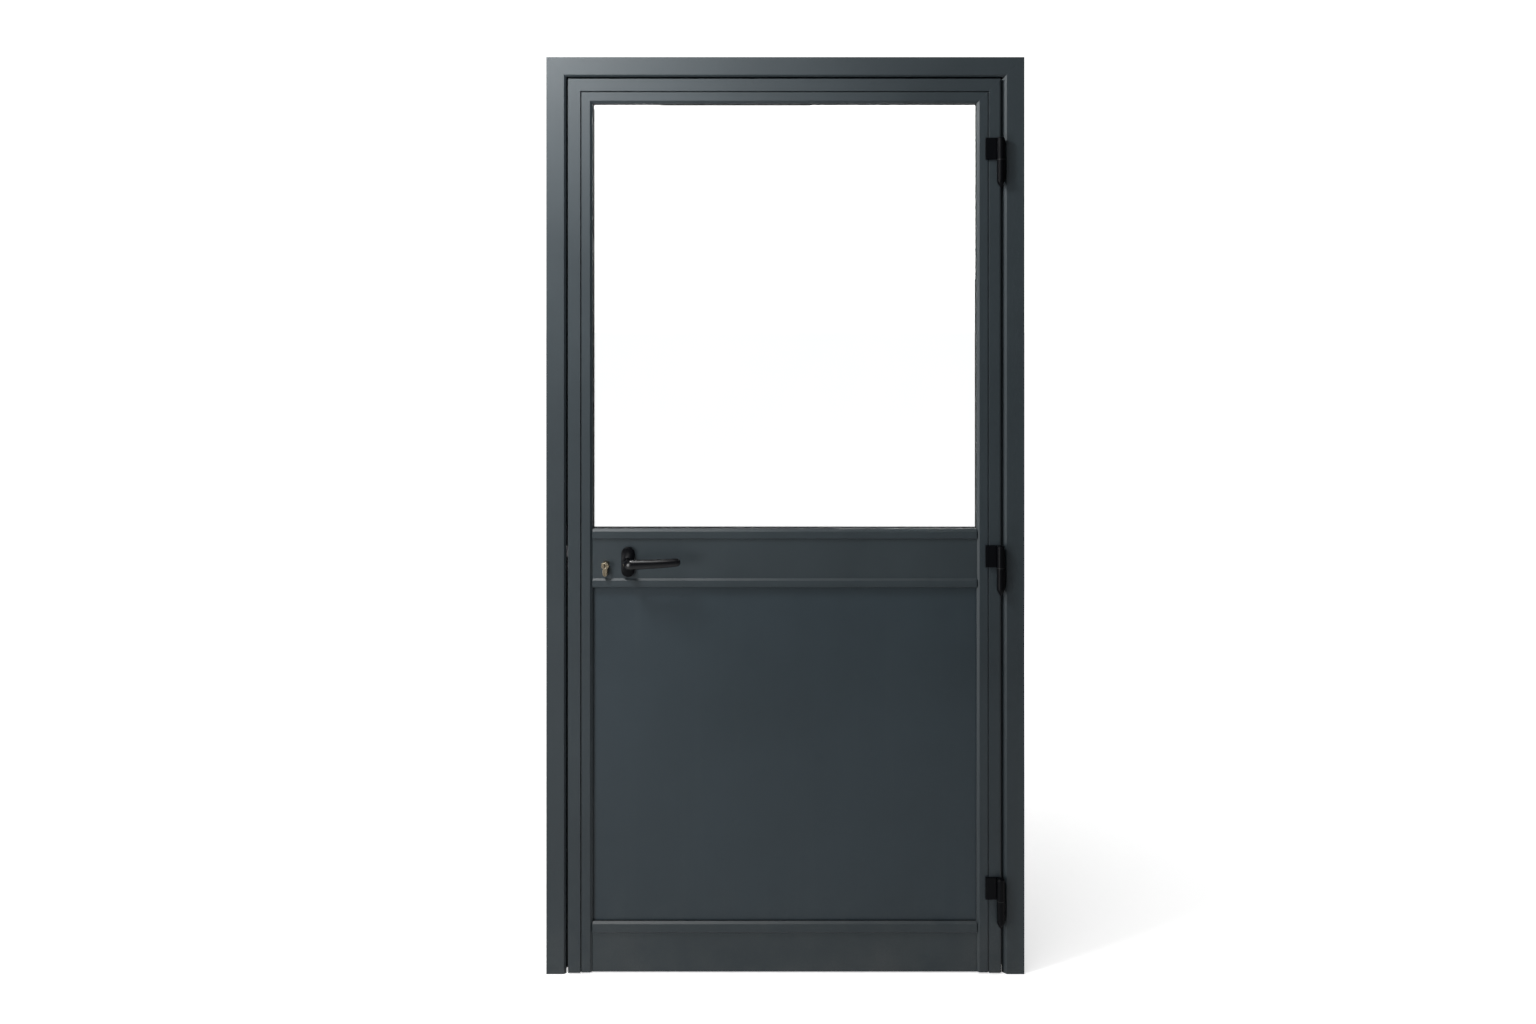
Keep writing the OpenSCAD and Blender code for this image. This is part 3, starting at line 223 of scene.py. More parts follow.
def bareMetal(name, metal):  # zinc, steel, brass and mill aluminium
    material, tree, surface = startMaterial(name)
    edges = effect(tree, softEdges, Radius=metal["edge"])
    grain = effect(tree, drawnGrain, Stretch=metal["stretch"])
    base = blendColour(tree, spread(tree, grain["Tone"], *noiseRange), metal["dark"], metal["light"])
    worn = doMath(tree, "MULTIPLY", edges["Edge"], bareLook["wear"])
    bright = blendColour(tree, worn, base, metal["rubbed"])
    tree.links.new(bright, surface.inputs["Base Color"])
    surface.inputs["Metallic"].default_value = 1.0
    smooth, coarse = metal["rough"] - bareLook["roughBelow"], metal["rough"] + bareLook["roughAbove"]
    tree.links.new(spread(tree, grain["Height"], *noiseRange, smooth, coarse), surface.inputs["Roughness"])
    bump = put(tree, "ShaderNodeBump", {"Strength": metal["bump"], "Distance": bareLook["bumpDepth"],
                                        "Height": grain["Height"], "Normal": edges["Normal"]})
    tree.links.new(bump.outputs[0], surface.inputs["Normal"])
    return material


softLook = {"roughSpan": 0.06, "dustReach": 1.2, "dustColour": (0.32, 0.30, 0.27, 1), "bumpDepth": 0.0002}


def softStuff(name, stuff):  # rubber, plastic and foam
    material, tree, surface = startMaterial(name)
    place = put(tree, "ShaderNodeTexCoord").outputs["Object"]
    mottle = put(tree, "ShaderNodeTexNoise", {"Vector": place, "Scale": stuff["scale"], "Detail": 5.0})
    cells = put(tree, "ShaderNodeTexVoronoi", {"Vector": place, "Scale": stuff["cells"]})
    dirt = effect(tree, settledDust, Reach=softLook["dustReach"])
    base = blendColour(tree, spread(tree, mottle.outputs[0], *noiseRange), stuff["dark"], stuff["light"])
    dust = doMath(tree, "MULTIPLY", dirt["Dust"], stuff["dust"])
    tree.links.new(blendColour(tree, dust, base, softLook["dustColour"]), surface.inputs["Base Color"])
    smooth, coarse = stuff["rough"] - softLook["roughSpan"], stuff["rough"] + softLook["roughSpan"]
    tree.links.new(spread(tree, mottle.outputs[0], *noiseRange, smooth, coarse), surface.inputs["Roughness"])
    bump = put(tree, "ShaderNodeBump", {"Strength": stuff["bump"], "Distance": softLook["bumpDepth"],
                                        "Height": cells.outputs["Distance"]})
    tree.links.new(bump.outputs[0], surface.inputs["Normal"])
    return material


def clearPane(name, pane):
    material, tree, surface = startMaterial(name)
    place = put(tree, "ShaderNodeTexCoord").outputs["Object"]
    smear = put(tree, "ShaderNodeTexNoise", {"Vector": place, "Scale": 6.0, "Detail": 8.0, "Roughness": 0.7})
    wave = put(tree, "ShaderNodeTexNoise", {"Vector": place, "Scale": 3.0, "Detail": 1.0})
    tint = blendColour(tree, spread(tree, smear.outputs[0], *pane["tintRange"]), pane["clear"], pane["tint"])
    tree.links.new(tint, surface.inputs["Base Color"])
    dulled = spread(tree, smear.outputs[0], *pane["smearRange"], 0.0, pane["smear"])
    tree.links.new(dulled, surface.inputs["Roughness"])
    bump = put(tree, "ShaderNodeBump", {"Strength": pane["bump"], "Distance": pane["bumpDepth"],
                                        "Height": wave.outputs[0]})
    tree.links.new(bump.outputs[0], surface.inputs["Normal"])
    surface.inputs["Transmission Weight"].default_value = 1.0
    surface.inputs["IOR"].default_value = pane["refraction"]
    return material


profilePaint = {"dark": (0.019, 0.027, 0.032, 1), "light": (0.024, 0.034, 0.040, 1),
                "rubbed": (0.10, 0.11, 0.115, 1), "wear": 0.35, "edge": 0.0007, "grain": 0.0011,
                "rough": 0.46, "bump": 0.22, "specular": 0.45, "dust": 0.10, "dustReach": 0.30,
                "streaks": 0.004}
framePaint = {**profilePaint, "dark": (0.020, 0.028, 0.033, 1), "light": (0.025, 0.035, 0.041, 1)}
sheetPaint = {**profilePaint, "dark": (0.018, 0.028, 0.035, 1), "light": (0.022, 0.034, 0.043, 1),
              "grain": 0.0013, "rough": 0.43, "bump": 0.15, "streaks": 0.006}
blackLacquer = {"dark": (0.0014, 0.0017, 0.0024, 1), "light": (0.0024, 0.0028, 0.0038, 1),
                "rubbed": (0.02, 0.02, 0.022, 1), "wear": 0.25, "edge": 0.0005, "grain": 0.0007,
                "rough": 0.24, "bump": 0.05, "specular": 0.42, "dust": 0.003, "dustReach": 1.0,
                "streaks": 0.0}
rosetteLacquer = {**blackLacquer, "rough": 0.38, "specular": 0.10}
hingeLacquer = {**blackLacquer, "rough": 0.36, "specular": 0.09, "grain": 0.0009}
darkPlastic = {"dark": (0.010, 0.010, 0.011, 1), "light": (0.016, 0.016, 0.017, 1), "scale": 60.0,
               "cells": 900.0, "rough": 0.45, "bump": 0.08, "dust": 0.02}
zincPlate = {"dark": (0.42, 0.43, 0.42, 1), "light": (0.58, 0.58, 0.55, 1), "rubbed": (0.75, 0.75, 0.73, 1),
             "edge": 0.0003, "rough": 0.36, "bump": 0.1, "stretch": (300.0, 300.0, 300.0)}
brushedSteel = {"dark": (0.40, 0.40, 0.41, 1), "light": (0.52, 0.52, 0.53, 1),
                "rubbed": (0.75, 0.75, 0.76, 1), "edge": 0.0004, "rough": 0.3, "bump": 0.2,
                "stretch": (2600.0, 2600.0, 40.0)}
yellowBrass = {"dark": (0.41, 0.34, 0.23, 1), "light": (0.60, 0.52, 0.38, 1), "rubbed": (0.80, 0.73, 0.58, 1),
               "edge": 0.0005, "rough": 0.27, "bump": 0.15, "stretch": (900.0, 60.0, 900.0)}
millAluminium = {"dark": (0.62, 0.63, 0.64, 1), "light": (0.74, 0.75, 0.76, 1),
                 "rubbed": (0.85, 0.85, 0.86, 1), "edge": 0.0005, "rough": 0.4, "bump": 0.2,
                 "stretch": (60.0, 1800.0, 1800.0)}
sealRubber = {"dark": (0.010, 0.010, 0.010, 1), "light": (0.018, 0.018, 0.018, 1), "scale": 60.0,
              "cells": 900.0, "rough": 0.72, "bump": 0.15, "dust": 0.3}
bluePlastic = {"dark": (0.04, 0.13, 0.30, 1), "light": (0.06, 0.17, 0.36, 1), "scale": 40.0, "cells": 700.0,
               "rough": 0.5, "bump": 0.1, "dust": 0.2}
yellowFoam = {"dark": (0.60, 0.52, 0.33, 1), "light": (0.74, 0.66, 0.45, 1), "scale": 80.0, "cells": 600.0,
              "rough": 0.9, "bump": 0.6, "dust": 0.1}
paneGlass = {"clear": (0.992, 0.998, 0.996, 1), "tint": (0.982, 0.992, 0.989, 1), "tintRange": (0.3, 0.75),
             "smear": 0.02, "smearRange": (0.55, 0.8), "bump": 0.02, "bumpDepth": 0.0005, "refraction": 1.5}

finishes = {
    "framePaint": coatedMetal("framePaint", framePaint),
    "profilePaint": coatedMetal("profilePaint", profilePaint),
    "sheetPaint": coatedMetal("sheetPaint", sheetPaint),
    "blackLacquer": coatedMetal("blackLacquer", blackLacquer),
    "rosetteLacquer": coatedMetal("rosetteLacquer", rosetteLacquer),
    "hingeLacquer": coatedMetal("hingeLacquer", hingeLacquer),
    "zincPlate": bareMetal("zincPlate", zincPlate),
    "brushedSteel": bareMetal("brushedSteel", brushedSteel),
    "yellowBrass": bareMetal("yellowBrass", yellowBrass),
    "millAluminium": bareMetal("millAluminium", millAluminium),
    "sealRubber": softStuff("sealRubber", sealRubber),
    "darkPlastic": softStuff("darkPlastic", darkPlastic),
    "bluePlastic": softStuff("bluePlastic", bluePlastic),
    "yellowFoam": softStuff("yellowFoam", yellowFoam),
    "paneGlass": clearPane("paneGlass", paneGlass),
}

nodeFinish = {
    "framePaint": "jamb_lock jamb_hinge frame_head",
    "profilePaint": "stile_lock stile_hinge top_rail mid_rail bottom_rail level_beads glass_side_beads "
                    "panel_side_beads",
    "sheetPaint": "panel_front_skin panel_back_skin",
    "blackLacquer": "front_lever back_lever",
    "rosetteLacquer": "front_rosette back_rosette",
    "hingeLacquer": "frame_knuckles hinge_tips leaf_flags flag_covers",
    "zincPlate": "strike_screws jamb_nut_plates jamb_hinge_screws lock_case lock_cover faceplate_screws "
                 "cylinder_screw rosette_screws flag_screws flag_nut_plates follower grub_screws",
    "brushedSteel": "strike_plate hinge_pins lock_faceplate spindle latch_bolt latch_spring deadbolt "
                    "cylinder_cam",
    "yellowBrass": "cylinder_body cylinder_plug",
    "millAluminium": "frame_cleats leaf_cleats rail_connectors pane_spacer",
    "sealRubber": "stop_gasket_lock stop_gasket_head stop_gasket_hinge glass_front_gasket glass_back_gasket "
                  "panel_front_gasket panel_back_gasket bottom_seal",
    "paneGlass": "outer_pane inner_pane",
    "bluePlastic": "setting_blocks",
    "darkPlastic": "hinge_bushes",
    "yellowFoam": "panel_core",
}
for finish, names in nodeFinish.items():
    for name in names.split():
        for slot in nodes[name].material_slots:
            slot.material = finishes[finish]
print("finishes on the frame:", len(finishes))


# Places that the looks are built around, all from the frame

leverLow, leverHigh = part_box("front_lever")
spindleLow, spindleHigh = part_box("spindle")
spindleX = (spindleLow.x + spindleHigh.x) / 2
spindleZ = (spindleLow.z + spindleHigh.z) / 2
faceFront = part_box("front_rosette")[1].y  # where the outside rosette seats
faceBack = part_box("back_rosette")[0].y


def solidsUp(name, gap):  # boxes of a node's solids, lowest first, split where they leave a gap in height
    points = sorted((v.co.copy() for v in nodes[name].data.vertices), key=lambda p: p.z)
    runs = [[points[0]]]
    for point in points[1:]:
        if point.z - runs[-1][-1].z > gap:
            runs.append([])
        runs[-1].append(point)
    return [[Vector([pick(p[k] for p in run) for k in range(3)]) for pick in (min, max)] for run in runs]


def meshObject(name, vertices, faces, edges=()):
    mesh = bpy.data.meshes.new(name)
    mesh.from_pydata([tuple(v) for v in vertices], list(edges), faces)
    piece = bpy.data.objects.new(name, mesh)
    scene.collection.objects.link(piece)
    return piece


def dress(piece, finish, body, replaced=(), smooth=True):  # rides only where a body is given
    mesh = piece.data
    mesh.materials.clear()
    mesh.materials.append(finishes[finish])
    for polygon in mesh.polygons:
        polygon.use_smooth = smooth
        polygon.material_index = 0
    if body:
        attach(piece, body)
    if replaced:
        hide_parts(*replaced)


def bake(piece):  # the evaluated shape becomes the piece's own mesh, and its modifiers go
    graph = bpy.context.evaluated_depsgraph_get()
    graph.update()
    mesh = bpy.data.meshes.new_from_object(piece.evaluated_get(graph), preserve_all_data_layers=True,
                                           depsgraph=graph)
    piece.modifiers.clear()
    piece.data = mesh


meshing = {"holeSides": 32, "mergeDistance": 1e-6}


def drill(piece, holes):  # cuts round holes: (middle, direction, radius, length)
    for k, (middle, direction, radius, length) in enumerate(holes):
        turn = Vector(direction).to_track_quat("Z", "Y").to_matrix().to_4x4()
        cutter = meshObject(piece.name + "Cutter" + str(k), [], [])
        work = bmesh.new()
        bmesh.ops.create_cone(work, cap_ends=True, segments=meshing["holeSides"], radius1=radius,
                              radius2=radius, depth=length, matrix=Matrix.Translation(middle) @ turn)
        work.to_mesh(cutter.data)
        work.free()
        cut = piece.modifiers.new("cut", "BOOLEAN")
        cut.operation, cut.object, cut.solver = "DIFFERENCE", cutter, "EXACT"
        bake(piece)
        bpy.data.objects.remove(cutter)


def loft(rings, loop=False):  # skins equal rings of points in order, then caps the ends or closes the loop
    count = len(rings[0])
    vertices = [p for ring in rings for p in ring]
    faces = []
    for i in range(len(rings) if loop else len(rings) - 1):
        a, b = i * count, ((i + 1) % len(rings)) * count
        for k in range(count):
            n = (k + 1) % count
            faces.append((a + k, a + n, b + n, b + k))
    if not loop:
        last = (len(rings) - 1) * count
        faces.append(tuple(range(count))[::-1])
        faces.append(tuple(range(last, last + count)))
    return vertices, faces


def faceOut(piece):  # merges doubled points and turns the faces outwards
    work = bmesh.new()
    work.from_mesh(piece.data)
    bmesh.ops.remove_doubles(work, verts=work.verts, dist=meshing["mergeDistance"])
    bmesh.ops.recalc_face_normals(work, faces=work.faces)
    work.to_mesh(piece.data)
    work.free()
    return piece


# Lever handles: a slightly squared neck bends into an oval grip, which turns back towards the door at its end

lever = {"seatGap": 0.5 * mm, "neckRadius": 8.5 * mm, "neckShares": (0.0, 0.4, 0.8, 1.0), "bend": 14 * mm,
         "gripHigh": 11.4 * mm, "gripDeep": 7.4 * mm, "endHigh": 9.4 * mm, "endDeep": 6.4 * mm,
         "rise": 0.028, "crank": 2.0 * mm, "lift": 1.2 * mm, "return": 5.5 * mm, "endTurn": 0.985,
         "squareness": 0.88, "grubRadius": 2.55 * mm, "grubOut": 24 * mm,
         "sides": 40, "bendSteps": 14, "gripSteps": 24, "endSteps": 9}


def makeLever(name, replaced, face, out):  # out is -1 outside and 1 inside
    bend, neck, gap = lever["bend"], lever["neckRadius"], lever["seatGap"]
    gripY = face + out * (leverHigh.y - leverLow.y - lever["gripDeep"] - gap)
    neckEnd = gripY - out * bend
    stations = []  # middle, half height, half depth
    for share in lever["neckShares"]:
        y = face + out * gap + (neckEnd - face - out * gap) * share
        stations.append((Vector((spindleX, y, spindleZ)), neck, neck))
    for step in range(1, lever["bendSteps"] + 1):
        share = step / lever["bendSteps"]
        angle = share * math.pi / 2
        x = bend * (1 - math.cos(angle))
        z = spindleZ + lever["rise"] * x + lever["crank"] * share * share
        middle = Vector((spindleX + x, neckEnd + out * bend * math.sin(angle), z))
        stations.append((middle, neck + (lever["gripHigh"] - neck) * share,
                         neck + (lever["gripDeep"] - neck) * share))
    startX = spindleX + bend
    span = leverHigh.x - startX - lever["endHigh"]
    for step in range(1, lever["gripSteps"] + 1):
        share = step / lever["gripSteps"]
        x = startX + span * share
        back = lever["return"] * share ** 3
        z = spindleZ + lever["crank"] + lever["rise"] * (x - spindleX) + lever["lift"] * share ** 3
        stations.append((Vector((x, gripY - out * back, z)),
                         lever["gripHigh"] + (lever["endHigh"] - lever["gripHigh"]) * share,
                         lever["gripDeep"] + (lever["endDeep"] - lever["gripDeep"]) * share))
    run = (stations[-1][0] - stations[-2][0]).normalized()
    last = stations[-1][0].copy()
    for step in range(1, lever["endSteps"] + 1):
        angle = step / lever["endSteps"] * math.pi / 2 * lever["endTurn"]
        stations.append((last + run * lever["endHigh"] * math.sin(angle),
                         lever["endHigh"] * math.cos(angle), lever["endDeep"] * math.cos(angle)))
    rings = []
    for k, (middle, high, deep) in enumerate(stations):
        before, after = stations[max(k - 1, 0)][0], stations[min(k + 1, len(stations) - 1)][0]
        along = (after - before).normalized()
        upward = (Vector((0, 0, 1)) - along * along.z).normalized()
        side = along.cross(upward)
        ring = []
        for point in range(lever["sides"]):
            angle = 2 * math.pi * point / lever["sides"]
            c, s = math.cos(angle), math.sin(angle)
            power = lever["squareness"]
            ring.append(middle + side * deep * math.copysign(abs(c) ** power, c)
                        + upward * high * math.copysign(abs(s) ** power, s))
        rings.append(ring)
    piece = faceOut(meshObject(name, *loft(rings)))
    grubY = face + out * lever["grubOut"]
    drill(piece, [(Vector((spindleX, grubY, spindleZ - neck)), (0, 0, 1), lever["grubRadius"], neck)])
    dress(piece, "blackLacquer", "handle", replaced)


makeLever("outsideLever", ["front_lever"], faceFront, -1)
makeLever("insideLever", ["back_lever"], faceBack, 1)


# Rosettes: upright ovals with a rounded rim and a raised collar round the neck

rosette = {"points": 96, "rimSteps": 6, "rim": 2.6 * mm, "bore": 8.62 * mm, "collar": 11.4 * mm,
           "collarStep": 1.2 * mm, "soft": 0.4 * mm, "screwOff": 27 * mm, "screwHead": 3.9 * mm,
           "screwDepth": 3.4 * mm}


def ovalRing(halfWidth, halfHeight, y):  # its points stand half a step off the level axis
    straight = halfHeight - halfWidth
    ring = []
    for k in range(rosette["points"]):
        angle = 2 * math.pi * (k + 0.5) / rosette["points"]
        c, s = math.cos(angle), math.sin(angle)
        z = spindleZ + halfWidth * s + math.copysign(straight, s)
        ring.append(Vector((spindleX + halfWidth * c, y, z)))
    return ring


def makeRosette(name, replaced, out, screwed):
    low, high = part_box(replaced[0])
    seat = high.y if out < 0 else low.y
    thick = high.y - low.y
    wide, tall = (high.x - low.x) / 2, (high.z - low.z) / 2
    rim, soft, bore, collar = rosette["rim"], rosette["soft"], rosette["bore"], rosette["collar"]
    face = thick - rosette["collarStep"]
    rings = [ovalRing(wide, tall, seat)]
    for step in range(rosette["rimSteps"] + 1):
        angle = step / rosette["rimSteps"] * math.pi / 2
        inset = rim * (1 - math.cos(angle))
        rings.append(ovalRing(wide - inset, tall - inset, seat + out * (face - rim + rim * math.sin(angle))))
    for radius, depth in ((collar + soft, face), (collar, thick - soft), (collar - soft, thick),
                          (bore + soft, thick), (bore, thick - soft), (bore, 0.0)):
        rings.append(ovalRing(radius, radius, seat + out * depth))
    piece = faceOut(meshObject(name, *loft(rings, loop=True)))
    if screwed:
        holes = [(Vector((spindleX, seat + out * face, spindleZ + side * rosette["screwOff"])), (0, 1, 0),
                  rosette["screwHead"], 2 * rosette["screwDepth"]) for side in (-1, 1)]
        drill(piece, holes)
    dress(piece, "rosetteLacquer", "leaf", replaced)


makeRosette("outsideRosette", ["front_rosette"], -1, False)
makeRosette("insideRosette", ["back_rosette"], 1, True)
print("handles done")


# Hinges: turned tips under the barrels, and domed caps over the pins

hinge = {"sides": 48, "apart": 0.1, "tipEnd": 2.2 * mm,
         "nose": ((0.35, 0.0), (0.8, 0.25 * mm), (1.1, 0.9 * mm)),  # shares of tipEnd, and heights
         "taperPower": 1.15, "taperSteps": 10, "taperTop": 2.2,  # from the top, in groove widths
         "groove": 0.35 * mm, "grooveWide": 0.8 * mm,
         "grooveProfile": ((0.0, 1.6), (1.0, 1.4), (1.0, 0.6), (0.0, 0.4)),  # depth share, widths down
         "capRadius": 5.6 * mm, "capHigh": 1.3 * mm, "capWall": 0.35, "capSteps": 8}


def turned(profile, middles):  # spins a profile of (radius, height) about upright axes
    vertices, faces = [], []
    for middle in middles:
        rings = []
        for radius, height in profile:
            angles = [2 * math.pi * k / hinge["sides"] for k in range(hinge["sides"])]
            rings.append([Vector((middle.x + radius * math.cos(angle), middle.y + radius * math.sin(angle),
                                  middle.z + height)) for angle in angles])
        points, sides = loft(rings)
        shift = len(vertices)
        vertices += points
        faces += [tuple(shift + v for v in side) for side in sides]
    return vertices, faces


def makeHinges():
    tips = solidsUp("hinge_tips", hinge["apart"])
    feet = [Vector(((low.x + high.x) / 2, (low.y + high.y) / 2, low.z)) for low, high in tips]
    long = tips[0][1].z - tips[0][0].z
    radius = (tips[0][1].x - tips[0][0].x) / 2
    wide, deep = hinge["grooveWide"], hinge["groove"]
    taperTop = long - hinge["taperTop"] * wide
    profile = [(hinge["tipEnd"] * share, height) for share, height in hinge["nose"]]
    noseRadius, noseTop = profile[-1]
    for step in range(1, hinge["taperSteps"] + 1):
        share = step / hinge["taperSteps"]
        swell = math.sin(share * math.pi / 2) ** hinge["taperPower"]
        profile.append((noseRadius + (radius - noseRadius) * swell, noseTop + (taperTop - noseTop) * share))
    profile += [(radius - deep * share, long - back * wide) for share, back in hinge["grooveProfile"]]
    profile.append((radius, long))
    piece = faceOut(meshObject("hingeTips", *turned(profile, feet)))
    dress(piece, "hingeLacquer", "root", ["hinge_tips"])
    flags = solidsUp("leaf_flags", hinge["apart"])
    tops = [Vector((foot.x, foot.y, flag[1].z)) for foot, flag in zip(feet, flags)]
    cap, high, wall = hinge["capRadius"], hinge["capHigh"], hinge["capWall"]
    profile = [(cap, 0.0), (cap, high * wall)]
    for step in range(1, hinge["capSteps"]):
        angle = step / hinge["capSteps"] * math.pi / 2
        profile.append((cap * math.cos(angle), high * (wall + (1 - wall) * math.sin(angle))))
    piece = faceOut(meshObject("hingeCaps", *turned(profile, tops)))
    dress(piece, "hingeLacquer", "leaf")


makeHinges()
print("hinges done")


# Geometry Nodes: screws with cross recesses, and soft seals swept round the openings

def geometryTree(name, inputs):
    ends = [("Finish", "NodeSocketMaterial", None)]
    return newGroup(name, [("Geometry", "NodeSocketGeometry", None)] + inputs + ends,
                    [("Geometry", "NodeSocketGeometry")], "GeometryNodeTree")


def endTree(tree, shape, given, out):  # real geometry in the given finish
    real = put(tree, "GeometryNodeRealizeInstances", {0: shape})
    coated = put(tree, "GeometryNodeSetMaterial", {"Geometry": real.outputs[0], "Material": given["Finish"]})
    tree.links.new(coated.outputs[0], out["Geometry"])


def transformed(tree, geometry, move, turn=(0, 0, 0)):
    return put(tree, "GeometryNodeTransform", {"Geometry": geometry, "Translation": move,
                                               "Rotation": turn}).outputs[0]


def combine(tree, x=0.0, y=0.0, z=0.0):
    return put(tree, "ShaderNodeCombineXYZ", {0: x, 1: y, 2: z}).outputs[0]


screwLook = {"headSides": 32, "headRings": 2, "shankSides": 24}


def makeScrewTree():  # a screw drawn looking up, laid on each point of the mesh and turned at random
    tree, given, out = geometryTree("screwSet", [
        ("Head Radius", floatSocket, 0.0045), ("Head Height", floatSocket, 0.0024),
        ("Under Radius", floatSocket, 0.002), ("Shank Radius", floatSocket, 0.002),
        ("Length", floatSocket, 0.014), ("Recess Width", floatSocket, 0.0011),
        ("Recess Reach", floatSocket, 0.005), ("Recess Depth", floatSocket, 0.0016),
        ("Facing", "NodeSocketRotation", None), ("Seed", "NodeSocketInt", 3)])
    high = given["Head Height"]
    halfHead = doMath(tree, "MULTIPLY", high, 0.5)
    head = put(tree, "GeometryNodeMeshCone", {
        "Vertices": screwLook["headSides"], "Side Segments": screwLook["headRings"],
        "Radius Top": given["Head Radius"], "Radius Bottom": given["Under Radius"], "Depth": high})
    head = transformed(tree, head.outputs[0], combine(tree, z=doMath(tree, "MULTIPLY", high, -1.0)))
    reach = doMath(tree, "SUBTRACT", given["Length"], halfHead)
    shank = put(tree, "GeometryNodeMeshCylinder", {"Vertices": screwLook["shankSides"],
                                                   "Radius": given["Shank Radius"], "Depth": reach})
    sunk = doMath(tree, "MULTIPLY", doMath(tree, "ADD", given["Length"], halfHead), -0.5)
    shank = transformed(tree, shank.outputs[0], combine(tree, z=sunk))
    body = put(tree, "GeometryNodeMeshBoolean", operation="UNION", solver="EXACT")
    tree.links.new(head, body.inputs[1])
    tree.links.new(shank, body.inputs[1])
    deep = doMath(tree, "MULTIPLY", given["Recess Depth"], 2.0)
    wide, across = given["Recess Width"], given["Recess Reach"]
    bars = [put(tree, "GeometryNodeMeshCube", {"Size": combine(tree, x, y, deep)}).outputs[0]
            for x, y in ((across, wide), (wide, across))]
    crossed = put(tree, "GeometryNodeMeshBoolean", operation="UNION", solver="EXACT")
    for bar in bars:
        tree.links.new(bar, crossed.inputs[1])
    cut = put(tree, "GeometryNodeMeshBoolean", {0: body.outputs[0]}, operation="DIFFERENCE", solver="EXACT")
    tree.links.new(crossed.outputs[0], cut.inputs[1])
    spin = put(tree, "FunctionNodeRandomValue", {2: 0.0, 3: math.pi, "Seed": given["Seed"]},
               data_type="FLOAT")
    laid = put(tree, "GeometryNodeInstanceOnPoints", {"Points": given["Geometry"], "Instance": cut.outputs[0],
                                                      "Rotation": given["Facing"]})
    spun = put(tree, "GeometryNodeRotateInstances", {"Instances": laid.outputs[0],
                                                     "Rotation": combine(tree, z=spin.outputs[1])})
    endTree(tree, spun.outputs[0], given, out)
    return tree


def makeSealTree():  # sweeps the mesh's outline round a rectangle that stands upright
    tree, given, out = geometryTree("sealRing", [
        ("Width", floatSocket, 0.9), ("Height", floatSocket, 0.9), ("Corner", floatSocket, 0.003),
        ("Middle", vectorSocket, (0.0, 0.0, 0.0))])
    path = put(tree, "GeometryNodeCurvePrimitiveQuadrilateral", {0: given["Width"], 1: given["Height"]})
    soft = put(tree, "GeometryNodeFilletCurve", {"Curve": path.outputs[0], "Count": 4,
                                                 "Radius": given["Corner"]}, mode="POLY")
    outline = put(tree, "GeometryNodeMeshToCurve", {"Mesh": given["Geometry"]})
    swept = put(tree, "GeometryNodeCurveToMesh", {"Curve": soft.outputs[0],
                                                  "Profile Curve": outline.outputs[0]})
    stood = transformed(tree, swept.outputs[0], given["Middle"], (math.pi / 2, 0, 0))
    endTree(tree, stood, given, out)
    return tree


screwTree, sealTree = makeScrewTree(), makeSealTree()


def grow(piece, tree, values):  # runs a tree on a piece with its named inputs set, and keeps the plain mesh
    grower = piece.modifiers.new("grow", "NODES")
    grower.node_group = tree
    for item in tree.interface.items_tree:
        if item.item_type == "SOCKET" and item.in_out == "INPUT" and item.name in values:
            grower[item.identifier] = values[item.name]
    bake(piece)


screwApart = 4 * mm  # two screws have more height than this between them
screwSets = {
    "strikeScrews": {"node": "strike_screws", "body": "root", "facing": (0, math.pi / 2, 0), "end": "high",
                     "Head Radius": 4.5 * mm, "Head Height": 2.4 * mm, "Under Radius": 2.1 * mm,
                     "Shank Radius": 2.1 * mm, "Length": 14 * mm, "Seed": 3},
    "faceplateScrews": {"node": "faceplate_screws", "body": "leaf", "facing": (0, -math.pi / 2, 0),
                        "end": "low", "Head Radius": 4.5 * mm, "Head Height": 2.4 * mm,
                        "Under Radius": 2.1 * mm, "Shank Radius": 2.1 * mm, "Length": 14 * mm, "Seed": 5},
    "hingeScrews": {"node": "jamb_hinge_screws", "body": "root", "facing": (0, -math.pi / 2, 0), "end": "low",
                    "Head Radius": 5.5 * mm, "Head Height": 2.5 * mm, "Under Radius": 3.0 * mm,
                    "Shank Radius": 3.0 * mm, "Length": 13.8 * mm, "Recess Reach": 6 * mm,
                    "Recess Width": 1.4 * mm, "Recess Depth": 1.9 * mm, "Seed": 7},
}


def makeScrews(name, screws):
    middles = []
    for low, high in solidsUp(screws["node"], screwApart):
        x = high.x if screws["end"] == "high" else low.x
        middles.append(Vector((x, (low.y + high.y) / 2, (low.z + high.z) / 2)))
    piece = meshObject(name, middles, [])
    values = {key: value for key, value in screws.items() if key[0].isupper()}
    grow(piece, screwTree, {**values, "Facing": screws["facing"], "Finish": finishes["zincPlate"]})
    dress(piece, "zincPlate", screws["body"], [screws["node"]], smooth=False)


for name, screws in screwSets.items():
    makeScrews(name, screws)
print("screws done")


# Glazing and panel seals: a flat foot under the metal's lip, and a soft lip that shows along its edge

seal = {"foot": 9.5 * mm, "lip": 1.3 * mm, "corner": 2.0 * mm,
        "lipProfile": ((0.6, 0.0), (1.0, 0.3), (0.7, 0.75), (0.0, 1.0))}  # shares of the lip and thickness
sealFacing = {"glassFrontSeal": ("glass_front_gasket", -1), "glassBackSeal": ("glass_back_gasket", 1),
              "panelFrontSeal": ("panel_front_gasket", -1), "panelBackSeal": ("panel_back_gasket", 1)}


